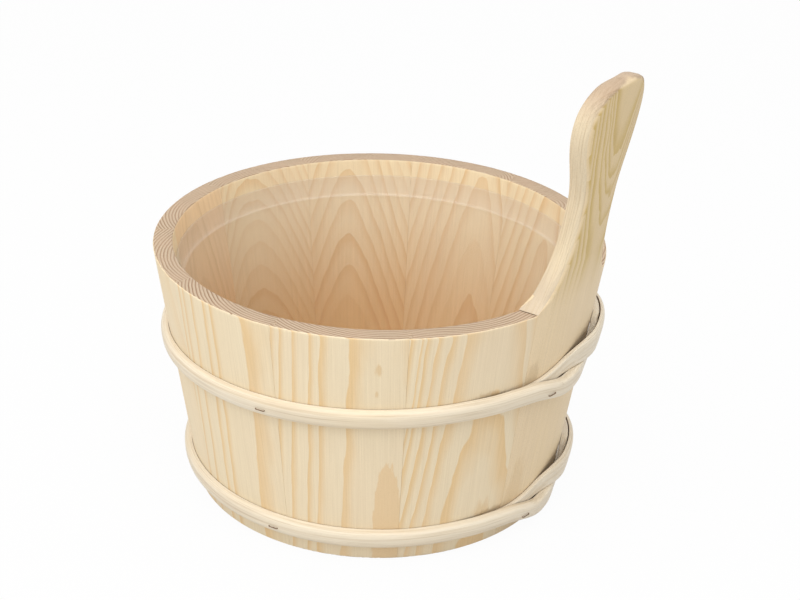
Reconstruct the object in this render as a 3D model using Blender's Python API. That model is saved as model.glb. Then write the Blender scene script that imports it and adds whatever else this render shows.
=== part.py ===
"""A stave-built pine sauna bucket with a paddle handle, two bound hoops and a clear liner.

Metres, +Z up. The origin is on the bucket's axis, at the level of the stave feet.
Azimuths are measured from +X toward +Y. The handle leans out toward +X and -Y.
"""
import math

import bmesh
import bpy
from mathutils import Vector

# Staves
RIM_RADIUS = 0.1250
FOOT_RADIUS = 0.1043
STAVE_HEIGHT = 0.1436
WALL = 0.0107
STAVE_COUNT = 11
HANDLE_AZIMUTH = math.radians(-45.0)
ARC_STEPS = 6

# Stave joints
JOINT_GAP = 0.0002
TONGUE_WIDTH = 0.0028
TONGUE_DEPTH = 0.0018
TONGUE_CLEARANCE = 0.0001

# Bottom boards
BOARD_COUNT = 3
BOARD_THICKNESS = 0.0090
BOARD_LIFT = 0.0100
CROZE_DEPTH = 0.0035
CROZE_CLEARANCE = 0.0002
CROZE_FLANK = 0.0004
BOARD_ARC_STEP = math.radians(6.0)
BOARD_LEAST_STEPS = 3

# Handle, all heights above the rim
HANDLE_TOP = 0.1205
HANDLE_LEAN = 0.152
SHOULDER_START = 0.0004
NECK_HEIGHT = 0.0560
NECK_HALF_WIDTH = 0.0190
HEAD_HEIGHT = 0.0980
HEAD_HALF_WIDTH = 0.0290
SHOULDER_POWER = 2.8
HEAD_POWER = 2.35
EDGE_ROUND = 0.0040
EDGE_ROUND_RISE = 0.0080
SHOULDER_ROWS = 10
NECK_ROWS = 8
HEAD_ROWS = 9
HEAD_LAST_TURN = math.radians(84.0)
CROWN_SHARE = 0.12
EDGE_ROUND_OF_WALL = 0.45  # most of the wall that one rounded edge may take
EDGE_ROUND_OF_WIDTH = 0.80  # most of the half width that one rounded edge may take

# Hoops
HOOP_HEIGHT = 0.0108
HOOP_THICKNESS = 0.0049
HOOP_TAIL_THICKNESS = 0.0024
HOOP_TAIL_HEIGHT = 0.0084
HOOP_SEAT = 0.0002
HOOP_TAIL_GAP = 0.0004
HOOP_POWER = 2.5
HOOP_FACE_STEPS = 8
HOOP_STEP = math.radians(4.0)
HOOP_LAP_BACK = math.radians(60.0)
HOOP_LAP_FRONT = math.radians(20.0)
HOOP_BACK_EASE = math.radians(20.0)
HOOP_FRONT_EASE = math.radians(12.0)
HOOP_SWAP_CENTRE = math.radians(-10.0)
HOOP_SWAP_HALF = math.radians(10.0)
HOOP_FIRST_PARE = math.radians(-20.0)
HOOP_LAST_PARE = math.radians(-14.0)
HOOP_PARE = math.radians(14.0)
HOOP_DIP_START = math.radians(12.0)
HOOP_DIP_RUN = math.radians(15.0)
HOOP_DIP_HOLD = math.radians(20.0)
HOOP_DIP_RETURN = math.radians(14.0)
HOOP_RISE_END = math.radians(13.0)
HOOP_RISE_RUN = math.radians(26.0)
HOOP_RISE_HOLD = math.radians(20.0)
HOOP_RISE_RETURN = math.radians(50.0)
HOOP_CROSS_LEAD = math.radians(3.0)
UPPER_HOOP_LEVEL = 0.0934
UPPER_HOOP_TILT = 0.0033
UPPER_HOOP_DIP = 0.0062
UPPER_HOOP_RISE = 0.0089
LOWER_HOOP_LEVEL = 0.0157
LOWER_HOOP_TILT = 0.0
LOWER_HOOP_DIP = 0.0062
LOWER_HOOP_RISE = 0.0085

# Staples, placed in stave widths round from the handle
STAPLE_PLACES = (0.28, 2.60, 5.00, 7.20)
STAPLE_CROWN = 0.0062
STAPLE_WIRE = 0.0007
STAPLE_DROP = 0.0006
STAPLE_BITE = 0.0040
STAPLE_SEAT = 0.0001
STAPLE_HOLE_CLEARANCE = 0.0001

# Liner
LINER_TOP = 0.1340
LINER_BAND = 0.0110
LINER_STEP = 0.0015
LINER_WALL = 0.0012
LINER_SIDE_GAP = 0.0003
LINER_FLOOR_GAP = 0.0003
LINER_CORNER = 0.0080
LINER_CORNER_STEPS = 4
LINER_SEGMENTS = 60

SMOOTH_ANGLE = math.radians(35.0)

PINE = ("pine", (0.86, 0.72, 0.50, 1.0), 0.60, 0.0)
CANE = ("cane", (0.84, 0.70, 0.48, 1.0), 0.55, 0.0)
CLEAR_PLASTIC = ("clear_plastic", (0.92, 0.92, 0.90, 1.0), 0.15, 0.0)
STEEL_WIRE = ("steel_wire", (0.25, 0.24, 0.22, 1.0), 0.35, 1.0)

STAVE_PITCH = 2.0 * math.pi / STAVE_COUNT
FLARE = (RIM_RADIUS - FOOT_RADIUS) / STAVE_HEIGHT
FLARE_ANGLE = math.atan(FLARE)
BOARD_TOP = BOARD_LIFT + BOARD_THICKNESS
TONGUE_INSET = (WALL - CROZE_DEPTH) / 2.0


def outer_radius(z):
    """Radius of the staves' outside at height z."""
    return FOOT_RADIUS + FLARE * z


def inner_radius(z):
    """Radius of the staves' inside at height z."""
    return outer_radius(z) - WALL


def polar(radius, azimuth, z):
    """Point at a radius, an azimuth and a height."""
    return Vector((radius * math.cos(azimuth), radius * math.sin(azimuth), z))


def ease(share):
    """Smooth step from 0 to 1."""
    t = min(max(share, 0.0), 1.0)
    return t * t * (3.0 - 2.0 * t)


def spread(start, end, count):
    """Evenly spaced values from start to end, both included."""
    return [start + (end - start) * i / (count - 1) for i in range(count)]


def principled(finish):
    """Principled material for a finish, made once."""
    name, colour, roughness, metallic = finish
    material = bpy.data.materials.get(name) or bpy.data.materials.new(name)
    material.use_nodes = True
    shader = material.node_tree.nodes["Principled BSDF"]
    shader.inputs["Base Color"].default_value = colour
    shader.inputs["Roughness"].default_value = roughness
    shader.inputs["Metallic"].default_value = metallic
    return material


def add_object(name, bm, finish=None):
    """Object from a closed bmesh, with its normals facing out."""
    bmesh.ops.recalc_face_normals(bm, faces=bm.faces)
    mesh = bpy.data.meshes.new(name)
    bm.to_mesh(mesh)
    bm.free()
    obj = bpy.data.objects.new(name, mesh)
    bpy.context.scene.collection.objects.link(obj)
    if finish:
        mesh.materials.append(principled(finish))
    mesh.shade_smooth()
    mesh.set_sharp_from_angle(angle=SMOOTH_ANGLE)
    return obj


def loft(bm, rings):
    """Closed solid through rings of points that all have the same count."""
    rows = [[bm.verts.new(point) for point in ring] for ring in rings]
    for low, high in zip(rows, rows[1:]):
        for i in range(len(low)):
            j = (i + 1) % len(low)
            bm.faces.new((low[i], low[j], high[j], high[i]))
    bm.faces.new(rows[0])
    bm.faces.new(rows[-1])


def stave_ring(z, azimuth, inner_cut=0.0):
    """Cross-section of a stave: tongue on the far side, groove on the near side."""
    half = STAVE_PITCH / 2.0
    outer = outer_radius(z)
    inner = outer - WALL + inner_cut
    middle = outer - TONGUE_INSET

    def side(radius, sign):
        return azimuth + sign * (half - JOINT_GAP / 2.0 / radius)

    ring = [polar(outer, a, z) for a in spread(side(outer, -1.0), side(outer, 1.0), ARC_STEPS + 1)]
    top, low = middle + TONGUE_WIDTH / 2.0, middle - TONGUE_WIDTH / 2.0
    for radius, reach in ((top, 0.0), (top, TONGUE_DEPTH), (low, TONGUE_DEPTH), (low, 0.0)):
        ring.append(polar(radius, side(radius, 1.0) + reach / radius, z))
    ring += [polar(inner, a, z) for a in spread(side(inner, 1.0), side(inner, -1.0), ARC_STEPS + 1)]
    top, low = top + TONGUE_CLEARANCE, low - TONGUE_CLEARANCE
    floor = TONGUE_DEPTH + TONGUE_CLEARANCE
    for radius, reach in ((low, 0.0), (low, floor), (top, floor), (top, 0.0)):
        ring.append(polar(radius, side(radius, -1.0) + reach / radius, z))
    return ring


def stave_rings(azimuth):
    """Cross-sections from the foot to the rim, with the groove for the boards."""
    low = BOARD_LIFT - CROZE_CLEARANCE
    high = BOARD_TOP + CROZE_CLEARANCE
    return [
        stave_ring(0.0, azimuth),
        stave_ring(low - CROZE_FLANK, azimuth),
        stave_ring(low, azimuth, CROZE_DEPTH),
        stave_ring(high, azimuth, CROZE_DEPTH),
        stave_ring(high + CROZE_FLANK, azimuth),
        stave_ring(STAVE_HEIGHT, azimuth),
    ]


def handle_outline():
    """Heights above the rim and half widths of the paddle, from the shoulder to the crown."""
    shoulder = RIM_RADIUS * STAVE_PITCH / 2.0 - JOINT_GAP / 2.0
    outline = []
    for height in spread(SHOULDER_START, NECK_HEIGHT, SHOULDER_ROWS):
        left = max(0.0, 1.0 - (height - SHOULDER_START) / (NECK_HEIGHT - SHOULDER_START))
        outline.append((height, NECK_HALF_WIDTH + (shoulder - NECK_HALF_WIDTH) * left**SHOULDER_POWER))
    for height in spread(NECK_HEIGHT, HEAD_HEIGHT, NECK_ROWS)[1:-1]:
        share = ease((height - NECK_HEIGHT) / (HEAD_HEIGHT - NECK_HEIGHT))
        outline.append((height, NECK_HALF_WIDTH + (HEAD_HALF_WIDTH - NECK_HALF_WIDTH) * share))
    for turn in spread(0.0, HEAD_LAST_TURN, HEAD_ROWS):
        rise = math.sin(turn) ** (2.0 / HEAD_POWER)
        width = math.cos(turn) ** (2.0 / HEAD_POWER)
        outline.append((HEAD_HEIGHT + (HANDLE_TOP - HEAD_HEIGHT) * rise, HEAD_HALF_WIDTH * width))
    outline.append((HANDLE_TOP, HEAD_HALF_WIDTH * CROWN_SHARE))
    return outline


def handle_ring(height, half_width):
    """Cross-section of the paddle, with rounded edges."""
    z = STAVE_HEIGHT + height
    below_top = HANDLE_TOP - height
    inset = 0.0
    if below_top < EDGE_ROUND:
        inset = EDGE_ROUND - math.sqrt(EDGE_ROUND**2 - (EDGE_ROUND - below_top) ** 2)
    outer = RIM_RADIUS + HANDLE_LEAN * height - inset
    inner = RIM_RADIUS + HANDLE_LEAN * height - WALL + inset
    corner = EDGE_ROUND * ease(height / EDGE_ROUND_RISE)
    corner = min(corner, EDGE_ROUND_OF_WALL * (outer - inner), EDGE_ROUND_OF_WIDTH * half_width)
    corner = max(corner, JOINT_GAP)
    flat = half_width - corner
    diagonal = corner * math.sqrt(0.5)
    edge = (
        (outer - corner + diagonal, flat + diagonal),
        (outer - corner, half_width),
        (inner + corner, half_width),
        (inner + corner - diagonal, flat + diagonal),
    )

    def point(radius, across):
        return polar(radius, HANDLE_AZIMUTH + across / radius, z)

    ring = [point(outer, across) for across in spread(-flat, flat, ARC_STEPS + 1)]
    ring += [point(radius, across) for radius, across in edge]
    ring += [point(inner, across) for across in spread(flat, -flat, ARC_STEPS + 1)]
    ring += [point(radius, -across) for radius, across in reversed(edge)]
    return ring


def build_staves():
    """The handle stave and the plain staves, numbered round from the handle."""
    staves = []
    for i in range(STAVE_COUNT):
        azimuth = HANDLE_AZIMUTH - i * STAVE_PITCH
        rings = stave_rings(azimuth)
        if i == 0:
            rings += [handle_ring(height, width) for height, width in handle_outline()]
        bm = bmesh.new()
        loft(bm, rings)
        staves.append(add_object("handle_stave" if i == 0 else f"stave_{i:02d}", bm, PINE))
    return staves


def board_plan(low, high, radius, steps):
    """Plan of a bottom board: the part of a disc between two straight edges along Y."""
    start = math.acos(min(high / radius, 1.0))
    end = math.acos(max(low / radius, -1.0))
    far = [(radius * math.cos(a), radius * math.sin(a)) for a in spread(start, end, steps + 1)]
    near = [(x, -y) for x, y in reversed(far)]
    if low <= -radius:
        near = near[1:]
    if high >= radius:
        near = near[:-1]
    return far + near


def board_rings(low, high, radius, first, last):
    """Cross-sections of a board from its underside up, with its tongue and groove."""
    middle = (BOARD_LIFT + BOARD_TOP) / 2.0
    tongue = TONGUE_WIDTH / 2.0
    groove = tongue + TONGUE_CLEARANCE
    reach = 0.0 if last else TONGUE_DEPTH
    floor = 0.0 if first else TONGUE_DEPTH + TONGUE_CLEARANCE
    steps = max(BOARD_LEAST_STEPS, math.ceil(math.acos(-1.0 + 2.0 / BOARD_COUNT) / BOARD_ARC_STEP))
    levels = (
        (BOARD_LIFT, 0.0, 0.0),
        (middle - groove - CROZE_FLANK, 0.0, 0.0),
        (middle - groove, floor, 0.0),
        (middle - tongue, floor, reach),
        (middle + tongue, floor, reach),
        (middle + groove, floor, 0.0),
        (middle + groove + CROZE_FLANK, 0.0, 0.0),
        (BOARD_TOP, 0.0, 0.0),
    )
    return [
        [Vector((x, y, z)) for x, y in board_plan(low + cut, high + tip, radius, steps)]
        for z, cut, tip in levels
    ]


def build_boards():
    """Bottom boards, edge to edge in the groove of the staves."""
    radius = inner_radius(BOARD_LIFT) + CROZE_DEPTH - CROZE_CLEARANCE
    width = 2.0 * radius / BOARD_COUNT
    for i in range(BOARD_COUNT):
        first, last = i == 0, i == BOARD_COUNT - 1
        low = -radius if first else -radius + i * width + JOINT_GAP / 2.0
        high = radius if last else -radius + (i + 1) * width - JOINT_GAP / 2.0
        bm = bmesh.new()
        loft(bm, board_rings(low, high, radius, first, last))
        add_object(f"bottom_board_{i + 1}", bm, PINE)


def liner_profile():
    """Half section of the liner from the middle of its underside round to the middle of its floor."""
    base = BOARD_TOP + LINER_FLOOR_GAP
    band_low = LINER_TOP - LINER_BAND
    step_low = band_low - LINER_STEP

    def side(z):
        return inner_radius(z) - LINER_SIDE_GAP - (LINER_STEP if z < band_low else 0.0)

    centre = (side(base + LINER_CORNER) - LINER_CORNER, base + LINER_CORNER)

    def corner(radius):
        turns = spread(-math.pi / 2.0, 0.0, LINER_CORNER_STEPS + 1)
        return [(centre[0] + radius * math.cos(t), centre[1] + radius * math.sin(t)) for t in turns]

    wall = [(side(z), z) for z in (step_low, band_low, LINER_TOP)]
    inside = [(radius - LINER_WALL, z) for radius, z in wall]
    outer = [(0.0, base)] + corner(LINER_CORNER) + wall
    inner = [(0.0, base + LINER_WALL)] + corner(LINER_CORNER - LINER_WALL) + inside
    return outer + inner[::-1]


def build_liner():
    """The clear tub, turned about the bucket's axis."""
    bm = bmesh.new()
    azimuths = [2.0 * math.pi * i / LINER_SEGMENTS for i in range(LINER_SEGMENTS)]
    profile = liner_profile()
    rows = [[bm.verts.new(polar(radius, a, z)) for a in azimuths] for radius, z in profile[1:-1]]
    for low, high in zip(rows, rows[1:]):
        for i in range(LINER_SEGMENTS):
            j = (i + 1) % LINER_SEGMENTS
            bm.faces.new((low[i], low[j], high[j], high[i]))
    for row, (_, z) in ((rows[0], profile[0]), (rows[-1], profile[-1])):
        pole = bm.verts.new((0.0, 0.0, z))
        for i in range(LINER_SEGMENTS):
            bm.faces.new((pole, row[i], row[(i + 1) % LINER_SEGMENTS]))
    add_object("liner", bm, CLEAR_PLASTIC)


class HoopCourse:
    """Path of one hoop strip, measured as a turn from where its ends cross.

    The strip starts with a tail behind its own far end, dips below that end, stands off over the
    other tail, goes once round, rises over its beginning and ends with a tail behind it.
    """

    def __init__(self, level, tilt, dip, rise):
        self.level = level
        self.tilt = tilt
        self.dip = dip
        self.rise = rise

    def azimuth(self, turn):
        """Azimuth of the strip."""
        return HANDLE_AZIMUTH - HOOP_CROSS_LEAD - turn

    def height(self, turn):
        """Height of the middle of the strip's back."""
        level = self.level + self.tilt * math.cos(turn)
        if turn < math.pi:
            down = ease((HOOP_DIP_START - turn) / HOOP_DIP_RUN)
            back = ease((-turn - HOOP_DIP_HOLD) / HOOP_DIP_RETURN)
            cover = self.half_height(turn + 2.0 * math.pi) - self.half_height(turn)
            return level - self.dip * down * (1.0 - back) + (self.climb(turn) + cover) * back
        return level + self.climb(turn - 2.0 * math.pi)

    def climb(self, turn):
        """Rise of the strip's far end where it goes over the beginning."""
        over = ease((HOOP_RISE_END - turn) / HOOP_RISE_RUN)
        back = ease((-turn - HOOP_RISE_HOLD) / HOOP_RISE_RETURN)
        return self.rise * over * (1.0 - back)

    def paring(self, turn):
        """Share of the way from the full strip to its pared tails."""
        if turn < math.pi:
            return ease((HOOP_FIRST_PARE - turn) / HOOP_PARE)
        return ease((turn - 2.0 * math.pi - HOOP_LAST_PARE) / HOOP_PARE)

    def thickness(self, turn):
        """Thickness of the strip."""
        return HOOP_THICKNESS + (HOOP_TAIL_THICKNESS - HOOP_THICKNESS) * self.paring(turn)

    def half_height(self, turn):
        """Half the height of the strip."""
        return (HOOP_HEIGHT + (HOOP_TAIL_HEIGHT - HOOP_HEIGHT) * self.paring(turn)) / 2.0

    def off_wall(self, turn):
        """Distance of the strip's back from the staves: over a tail, that tail's thickness."""
        if turn < math.pi:
            beyond, lap = turn - HOOP_SWAP_CENTRE, HOOP_LAP_FRONT - HOOP_SWAP_CENTRE
            back = ease((beyond - lap) / HOOP_FRONT_EASE)
            tail = turn + 2.0 * math.pi
        else:
            tail = turn - 2.0 * math.pi
            beyond, lap = HOOP_SWAP_CENTRE - tail, HOOP_LAP_BACK + HOOP_SWAP_CENTRE
            back = ease((beyond - lap) / HOOP_BACK_EASE)
        over = ease((beyond + HOOP_SWAP_HALF) / (2.0 * HOOP_SWAP_HALF))
        step = self.thickness(tail) + HOOP_TAIL_GAP
        return HOOP_SEAT + step * over * (1.0 - back)

    def axes(self, turn):
        """Point on the strip's back, with the directions outward, up and along."""
        azimuth = self.azimuth(turn)
        z = self.height(turn)
        radial = polar(1.0, azimuth, 0.0)
        outward = radial * math.cos(FLARE_ANGLE) - Vector((0.0, 0.0, math.sin(FLARE_ANGLE)))
        up = radial * math.sin(FLARE_ANGLE) + Vector((0.0, 0.0, math.cos(FLARE_ANGLE)))
        along = polar(1.0, azimuth - math.pi / 2.0, 0.0)
        return polar(outer_radius(z), azimuth, z) + outward * self.off_wall(turn), outward, up, along

    def face(self, turn, rise):
        """Height of the rounded face above the back, at a rise from the middle."""
        share = min(abs(rise) / self.half_height(turn), 1.0)
        return self.thickness(turn) * (1.0 - share**HOOP_POWER) ** (1.0 / HOOP_POWER)

    def ring(self, turn):
        """Cross-section of the strip: a flat back and a rounded face."""
        back, outward, up, _ = self.axes(turn)
        turns = spread(-math.pi / 2.0, math.pi / 2.0, HOOP_FACE_STEPS + 1)
        rises = [math.sin(t) * self.half_height(turn) for t in turns]
        return [back + up * rise + outward * self.face(turn, rise) for rise in rises]


def build_hoop(name, course):
    """One hoop strip with its tucked ends."""
    start, end = -HOOP_LAP_BACK, 2.0 * math.pi + HOOP_LAP_FRONT
    steps = math.ceil((end - start) / HOOP_STEP)
    bm = bmesh.new()
    loft(bm, [course.ring(turn) for turn in spread(start, end, steps + 1)])
    return add_object(name, bm, CANE)


def staple_frame(course, place):
    """Frame of a staple on a hoop, with the levels of its crown and its points."""
    turn = place * STAVE_PITCH - HOOP_CROSS_LEAD
    back, outward, up, along = course.axes(turn)
    crown = course.face(turn, STAPLE_DROP - STAPLE_WIRE / 2.0) + STAPLE_SEAT
    points = -course.off_wall(turn) - STAPLE_BITE
    return back - up * STAPLE_DROP, outward, up, along, crown, points


def add_prism(bm, plan, origin, outward, up, along, half_depth):
    """Prism from a plan of (along, outward) pairs, as deep as given each way from the origin."""
    rings = [
        [origin + along * x + outward * y + up * depth for x, y in plan]
        for depth in (-half_depth, half_depth)
    ]
    loft(bm, rings)


def build_staple(name, course, place):
    """One staple: a crown across the strip and two legs through it into the stave."""
    origin, outward, up, along, crown, points = staple_frame(course, place)
    wide = STAPLE_CROWN / 2.0
    slim = wide - STAPLE_WIRE
    top = crown + STAPLE_WIRE
    plan = (
        (-wide, points), (-slim, points), (-slim, crown), (slim, crown),
        (slim, points), (wide, points), (wide, top), (-wide, top),
    )
    bm = bmesh.new()
    add_prism(bm, plan, origin, outward, up, along, STAPLE_WIRE / 2.0)
    return add_object(name, bm, STEEL_WIRE)


def build_leg_holes(name, course, place):
    """Cutter for the two leg holes of a staple."""
    origin, outward, up, along, crown, points = staple_frame(course, place)
    low = points - STAPLE_HOLE_CLEARANCE
    wide = STAPLE_CROWN / 2.0 + STAPLE_HOLE_CLEARANCE
    slim = STAPLE_CROWN / 2.0 - STAPLE_WIRE - STAPLE_HOLE_CLEARANCE
    bm = bmesh.new()
    for sign in (-1.0, 1.0):
        plan = ((sign * slim, low), (sign * wide, low), (sign * wide, crown), (sign * slim, crown))
        add_prism(bm, plan, origin, outward, up, along, STAPLE_WIRE / 2.0 + STAPLE_HOLE_CLEARANCE)
    cutter = add_object(name, bm)
    cutter.hide_render = True
    cutter.display_type = "WIRE"
    return cutter


def cut(obj, cutter):
    """Take a cutter's volume out of an object."""
    modifier = obj.modifiers.new(cutter.name, "BOOLEAN")
    modifier.operation = "DIFFERENCE"
    modifier.solver = "EXACT"
    modifier.object = cutter


def build_bound_hoop(label, course, staves):
    """A hoop with the staples that hold it, and the holes that they go into."""
    hoop = build_hoop(f"{label}_hoop", course)
    for i, place in enumerate(STAPLE_PLACES):
        build_staple(f"{label}_staple_{i + 1}", course, place)
        holes = build_leg_holes(f"{label}_leg_holes_{i + 1}", course, place)
        cut(hoop, holes)
        cut(staves[round(place) % STAVE_COUNT], holes)


def main():
    """Build every piece of the bucket."""
    for obj in list(bpy.data.objects):
        bpy.data.objects.remove(obj)
    staves = build_staves()
    build_boards()
    build_liner()
    upper = HoopCourse(UPPER_HOOP_LEVEL, UPPER_HOOP_TILT, UPPER_HOOP_DIP, UPPER_HOOP_RISE)
    lower = HoopCourse(LOWER_HOOP_LEVEL, LOWER_HOOP_TILT, LOWER_HOOP_DIP, LOWER_HOOP_RISE)
    build_bound_hoop("upper", upper, staves)
    build_bound_hoop("lower", lower, staves)


main()
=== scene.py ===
"""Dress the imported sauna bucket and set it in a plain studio.

The staves, bottom boards, hoops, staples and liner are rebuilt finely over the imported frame, each with
its own finish. Metres, +Z up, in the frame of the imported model. Azimuths run from +X toward +Y.
"""
import logging
import math
from dataclasses import dataclass, field, replace
from enum import Enum
from typing import Any, Optional, Sequence

import bmesh
import bpy
from mathutils import Matrix, Vector, noise


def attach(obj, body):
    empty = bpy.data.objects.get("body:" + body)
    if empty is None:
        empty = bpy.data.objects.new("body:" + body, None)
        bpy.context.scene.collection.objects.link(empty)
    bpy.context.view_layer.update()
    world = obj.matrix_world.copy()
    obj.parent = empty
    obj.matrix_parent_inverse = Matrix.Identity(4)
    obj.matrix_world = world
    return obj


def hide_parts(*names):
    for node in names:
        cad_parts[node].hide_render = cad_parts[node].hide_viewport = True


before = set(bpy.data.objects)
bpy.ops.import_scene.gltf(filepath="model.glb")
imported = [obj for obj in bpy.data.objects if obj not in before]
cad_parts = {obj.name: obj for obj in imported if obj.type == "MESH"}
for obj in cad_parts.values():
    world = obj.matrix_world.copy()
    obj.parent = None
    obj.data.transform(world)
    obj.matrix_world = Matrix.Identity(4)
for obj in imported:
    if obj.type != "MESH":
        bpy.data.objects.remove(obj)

LOG = logging.getLogger("sauna_bucket")

Colour = tuple[float, float, float, float]
Stops = Sequence[tuple[float, Colour]]
Ring = list[Vector]
BMesh = bmesh.types.BMesh
Socket = bpy.types.NodeSocket

BUCKET_BODY = "bucket"
LINER_BODY = "liner"
SMOOTH_ANGLE = math.radians(38.0)
WELD = 1e-7
FULL_TURN = 2.0 * math.pi
WOOD_IOR = 1.45


class Slot(Enum):
    """Material slots of the record."""

    PINE = "pine"
    CANE = "cane"
    CLEAR_PLASTIC = "clear_plastic"
    STEEL_WIRE = "steel_wire"


class Cut(Enum):
    """Which way a pine surface was cut from the board."""

    FACE = "face"
    END = "end"
    EDGE = "edge"


def rgb(red: float, green: float, blue: float) -> Colour:
    """Opaque colour from three linear parts."""
    return (red, green, blue, 1.0)


def grey(level: float) -> Colour:
    """Opaque grey of a level."""
    return rgb(level, level, level)


WHITE = grey(1.0)


def blend(first: Colour, second: Colour, share: float) -> Colour:
    """Colour a share of the way from one to another."""
    return tuple(a + (b - a) * share for a, b in zip(first, second))


def deg(degrees: float) -> float:
    """Angle in radians."""
    return math.radians(degrees)


def ease(share: float) -> float:
    """Smooth step from 0 to 1."""
    t = min(max(share, 0.0), 1.0)
    return t * t * (3.0 - 2.0 * t)


def spread(start: float, end: float, count: int) -> list[float]:
    """Evenly spaced values from start to end, both included."""
    return [start + (end - start) * i / (count - 1) for i in range(count)]


def polar(radius: float, azimuth: float, z: float) -> Vector:
    """Point at a radius, an azimuth and a height."""
    return Vector((radius * math.cos(azimuth), radius * math.sin(azimuth), z))


def sweep(rings: Sequence[Ring]) -> BMesh:
    """Closed solid through rings of points that all have the same count.

    Args:
        rings: Rings of points in order, each going round the section.

    Returns:
        A welded bmesh with both ends filled and its normals facing out.
    """
    around, along = len(rings[0]), len(rings) - 1
    bm = bmesh.new()
    bmesh.ops.create_grid(bm, x_segments=around, y_segments=along, size=0.5)
    for vert in bm.verts:
        i = round((vert.co.x + 0.5) * around)
        j = round((vert.co.y + 0.5) * along)
        vert.co = rings[j][i % around]
    bmesh.ops.remove_doubles(bm, verts=bm.verts, dist=WELD)
    bmesh.ops.holes_fill(bm, edges=[edge for edge in bm.edges if edge.is_boundary], sides=0)
    bmesh.ops.recalc_face_normals(bm, faces=bm.faces)
    return bm


def add_piece(
    name: str,
    bm: BMesh,
    materials: Sequence[bpy.types.Material],
    body: str,
    slot: Slot,
    nodes: Sequence[str],
) -> bpy.types.Object:
    """Make a finished piece of a bmesh and tie it to the frame.

    Args:
        name: Name of the piece.
        bm: Its mesh, which is used up.
        materials: Its materials, in slot order.
        body: Body of the frame that it rides on.
        slot: Material slot of the record; not used.
        nodes: Nodes of the frame that it stands for.

    Returns:
        The new object.
    """
    mesh = bpy.data.meshes.new(name)
    bm.to_mesh(mesh)
    bm.free()
    for material in materials:
        mesh.materials.append(material)
    mesh.shade_smooth()
    mesh.set_sharp_from_angle(angle=SMOOTH_ANGLE)
    obj = bpy.data.objects.new(name, mesh)
    bpy.context.scene.collection.objects.link(obj)
    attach(obj, body)
    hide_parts(*nodes)
    LOG.info("%s: %d faces on %s", name, len(mesh.polygons), body)
    return obj


@dataclass(frozen=True)
class Shell:
    """Sizes of the coopered shell that the pieces share."""

    rim_radius: float = 0.1250
    foot_radius: float = 0.1043
    height: float = 0.1436
    wall: float = 0.0107
    stave_count: int = 11
    handle_azimuth: float = math.radians(-45.0)
    joint_gap: float = 0.00005
    board_lift: float = 0.0100
    board_thickness: float = 0.0090
    croze_depth: float = 0.0035

    @property
    def pitch(self) -> float:
        """Angle that one stave takes."""
        return FULL_TURN / self.stave_count

    @property
    def flare(self) -> float:
        """Growth of the radius with the height."""
        return (self.rim_radius - self.foot_radius) / self.height

    @property
    def flare_angle(self) -> float:
        """Lean of the wall."""
        return math.atan(self.flare)

    @property
    def board_top(self) -> float:
        """Height of the top of the bottom boards."""
        return self.board_lift + self.board_thickness

    def outer(self, z: float) -> float:
        """Radius of the outside at a height."""
        return self.foot_radius + self.flare * z

    def inner(self, z: float) -> float:
        """Radius of the inside at a height."""
        return self.outer(z) - self.wall


SHELL = Shell()


class Grain(Enum):
    """How finely each pattern varies along its three axes, per metre, and its levels of detail."""

    FIBRES = (1500.0, 1500.0, 22.0, 3.0)
    GRIT = (2600.0, 2600.0, 2600.0, 2.0)
    SWAY = (30.0, 30.0, 11.0, 1.0)
    WAVER = (140.0, 140.0, 40.0, 2.0)
    BLUSH = (26.0, 26.0, 8.0, 2.0)
    PATCH = (60.0, 60.0, 60.0, 2.0)
    SPOT = (500.0, 500.0, 90.0, 3.0)
    TONGUE = (900.0, 900.0, 45.0, 3.0)
    SAWN = (1500.0, 40.0, 18.0, 3.0)
    CROWN = (150.0, 150.0, 150.0, 2.0)
    CROWN_LINES = (1500.0, 90.0, 60.0, 3.0)
    CANE_FINE = (26.0, 1900.0, 1900.0, 3.0)
    CANE_BROAD = (9.0, 420.0, 420.0, 2.0)
    CANE_SLOW = (14.0, 60.0, 60.0, 2.0)
    PLASTIC = (60.0, 60.0, 20.0, 2.0)
    WIRE = (900.0, 900.0, 900.0, 3.0)


@dataclass(frozen=True)
class Touch:
    """Tone that comes in as a value goes from low to high, and the most that it shows."""

    tone: Colour
    most: float
    low: float
    high: float


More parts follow.
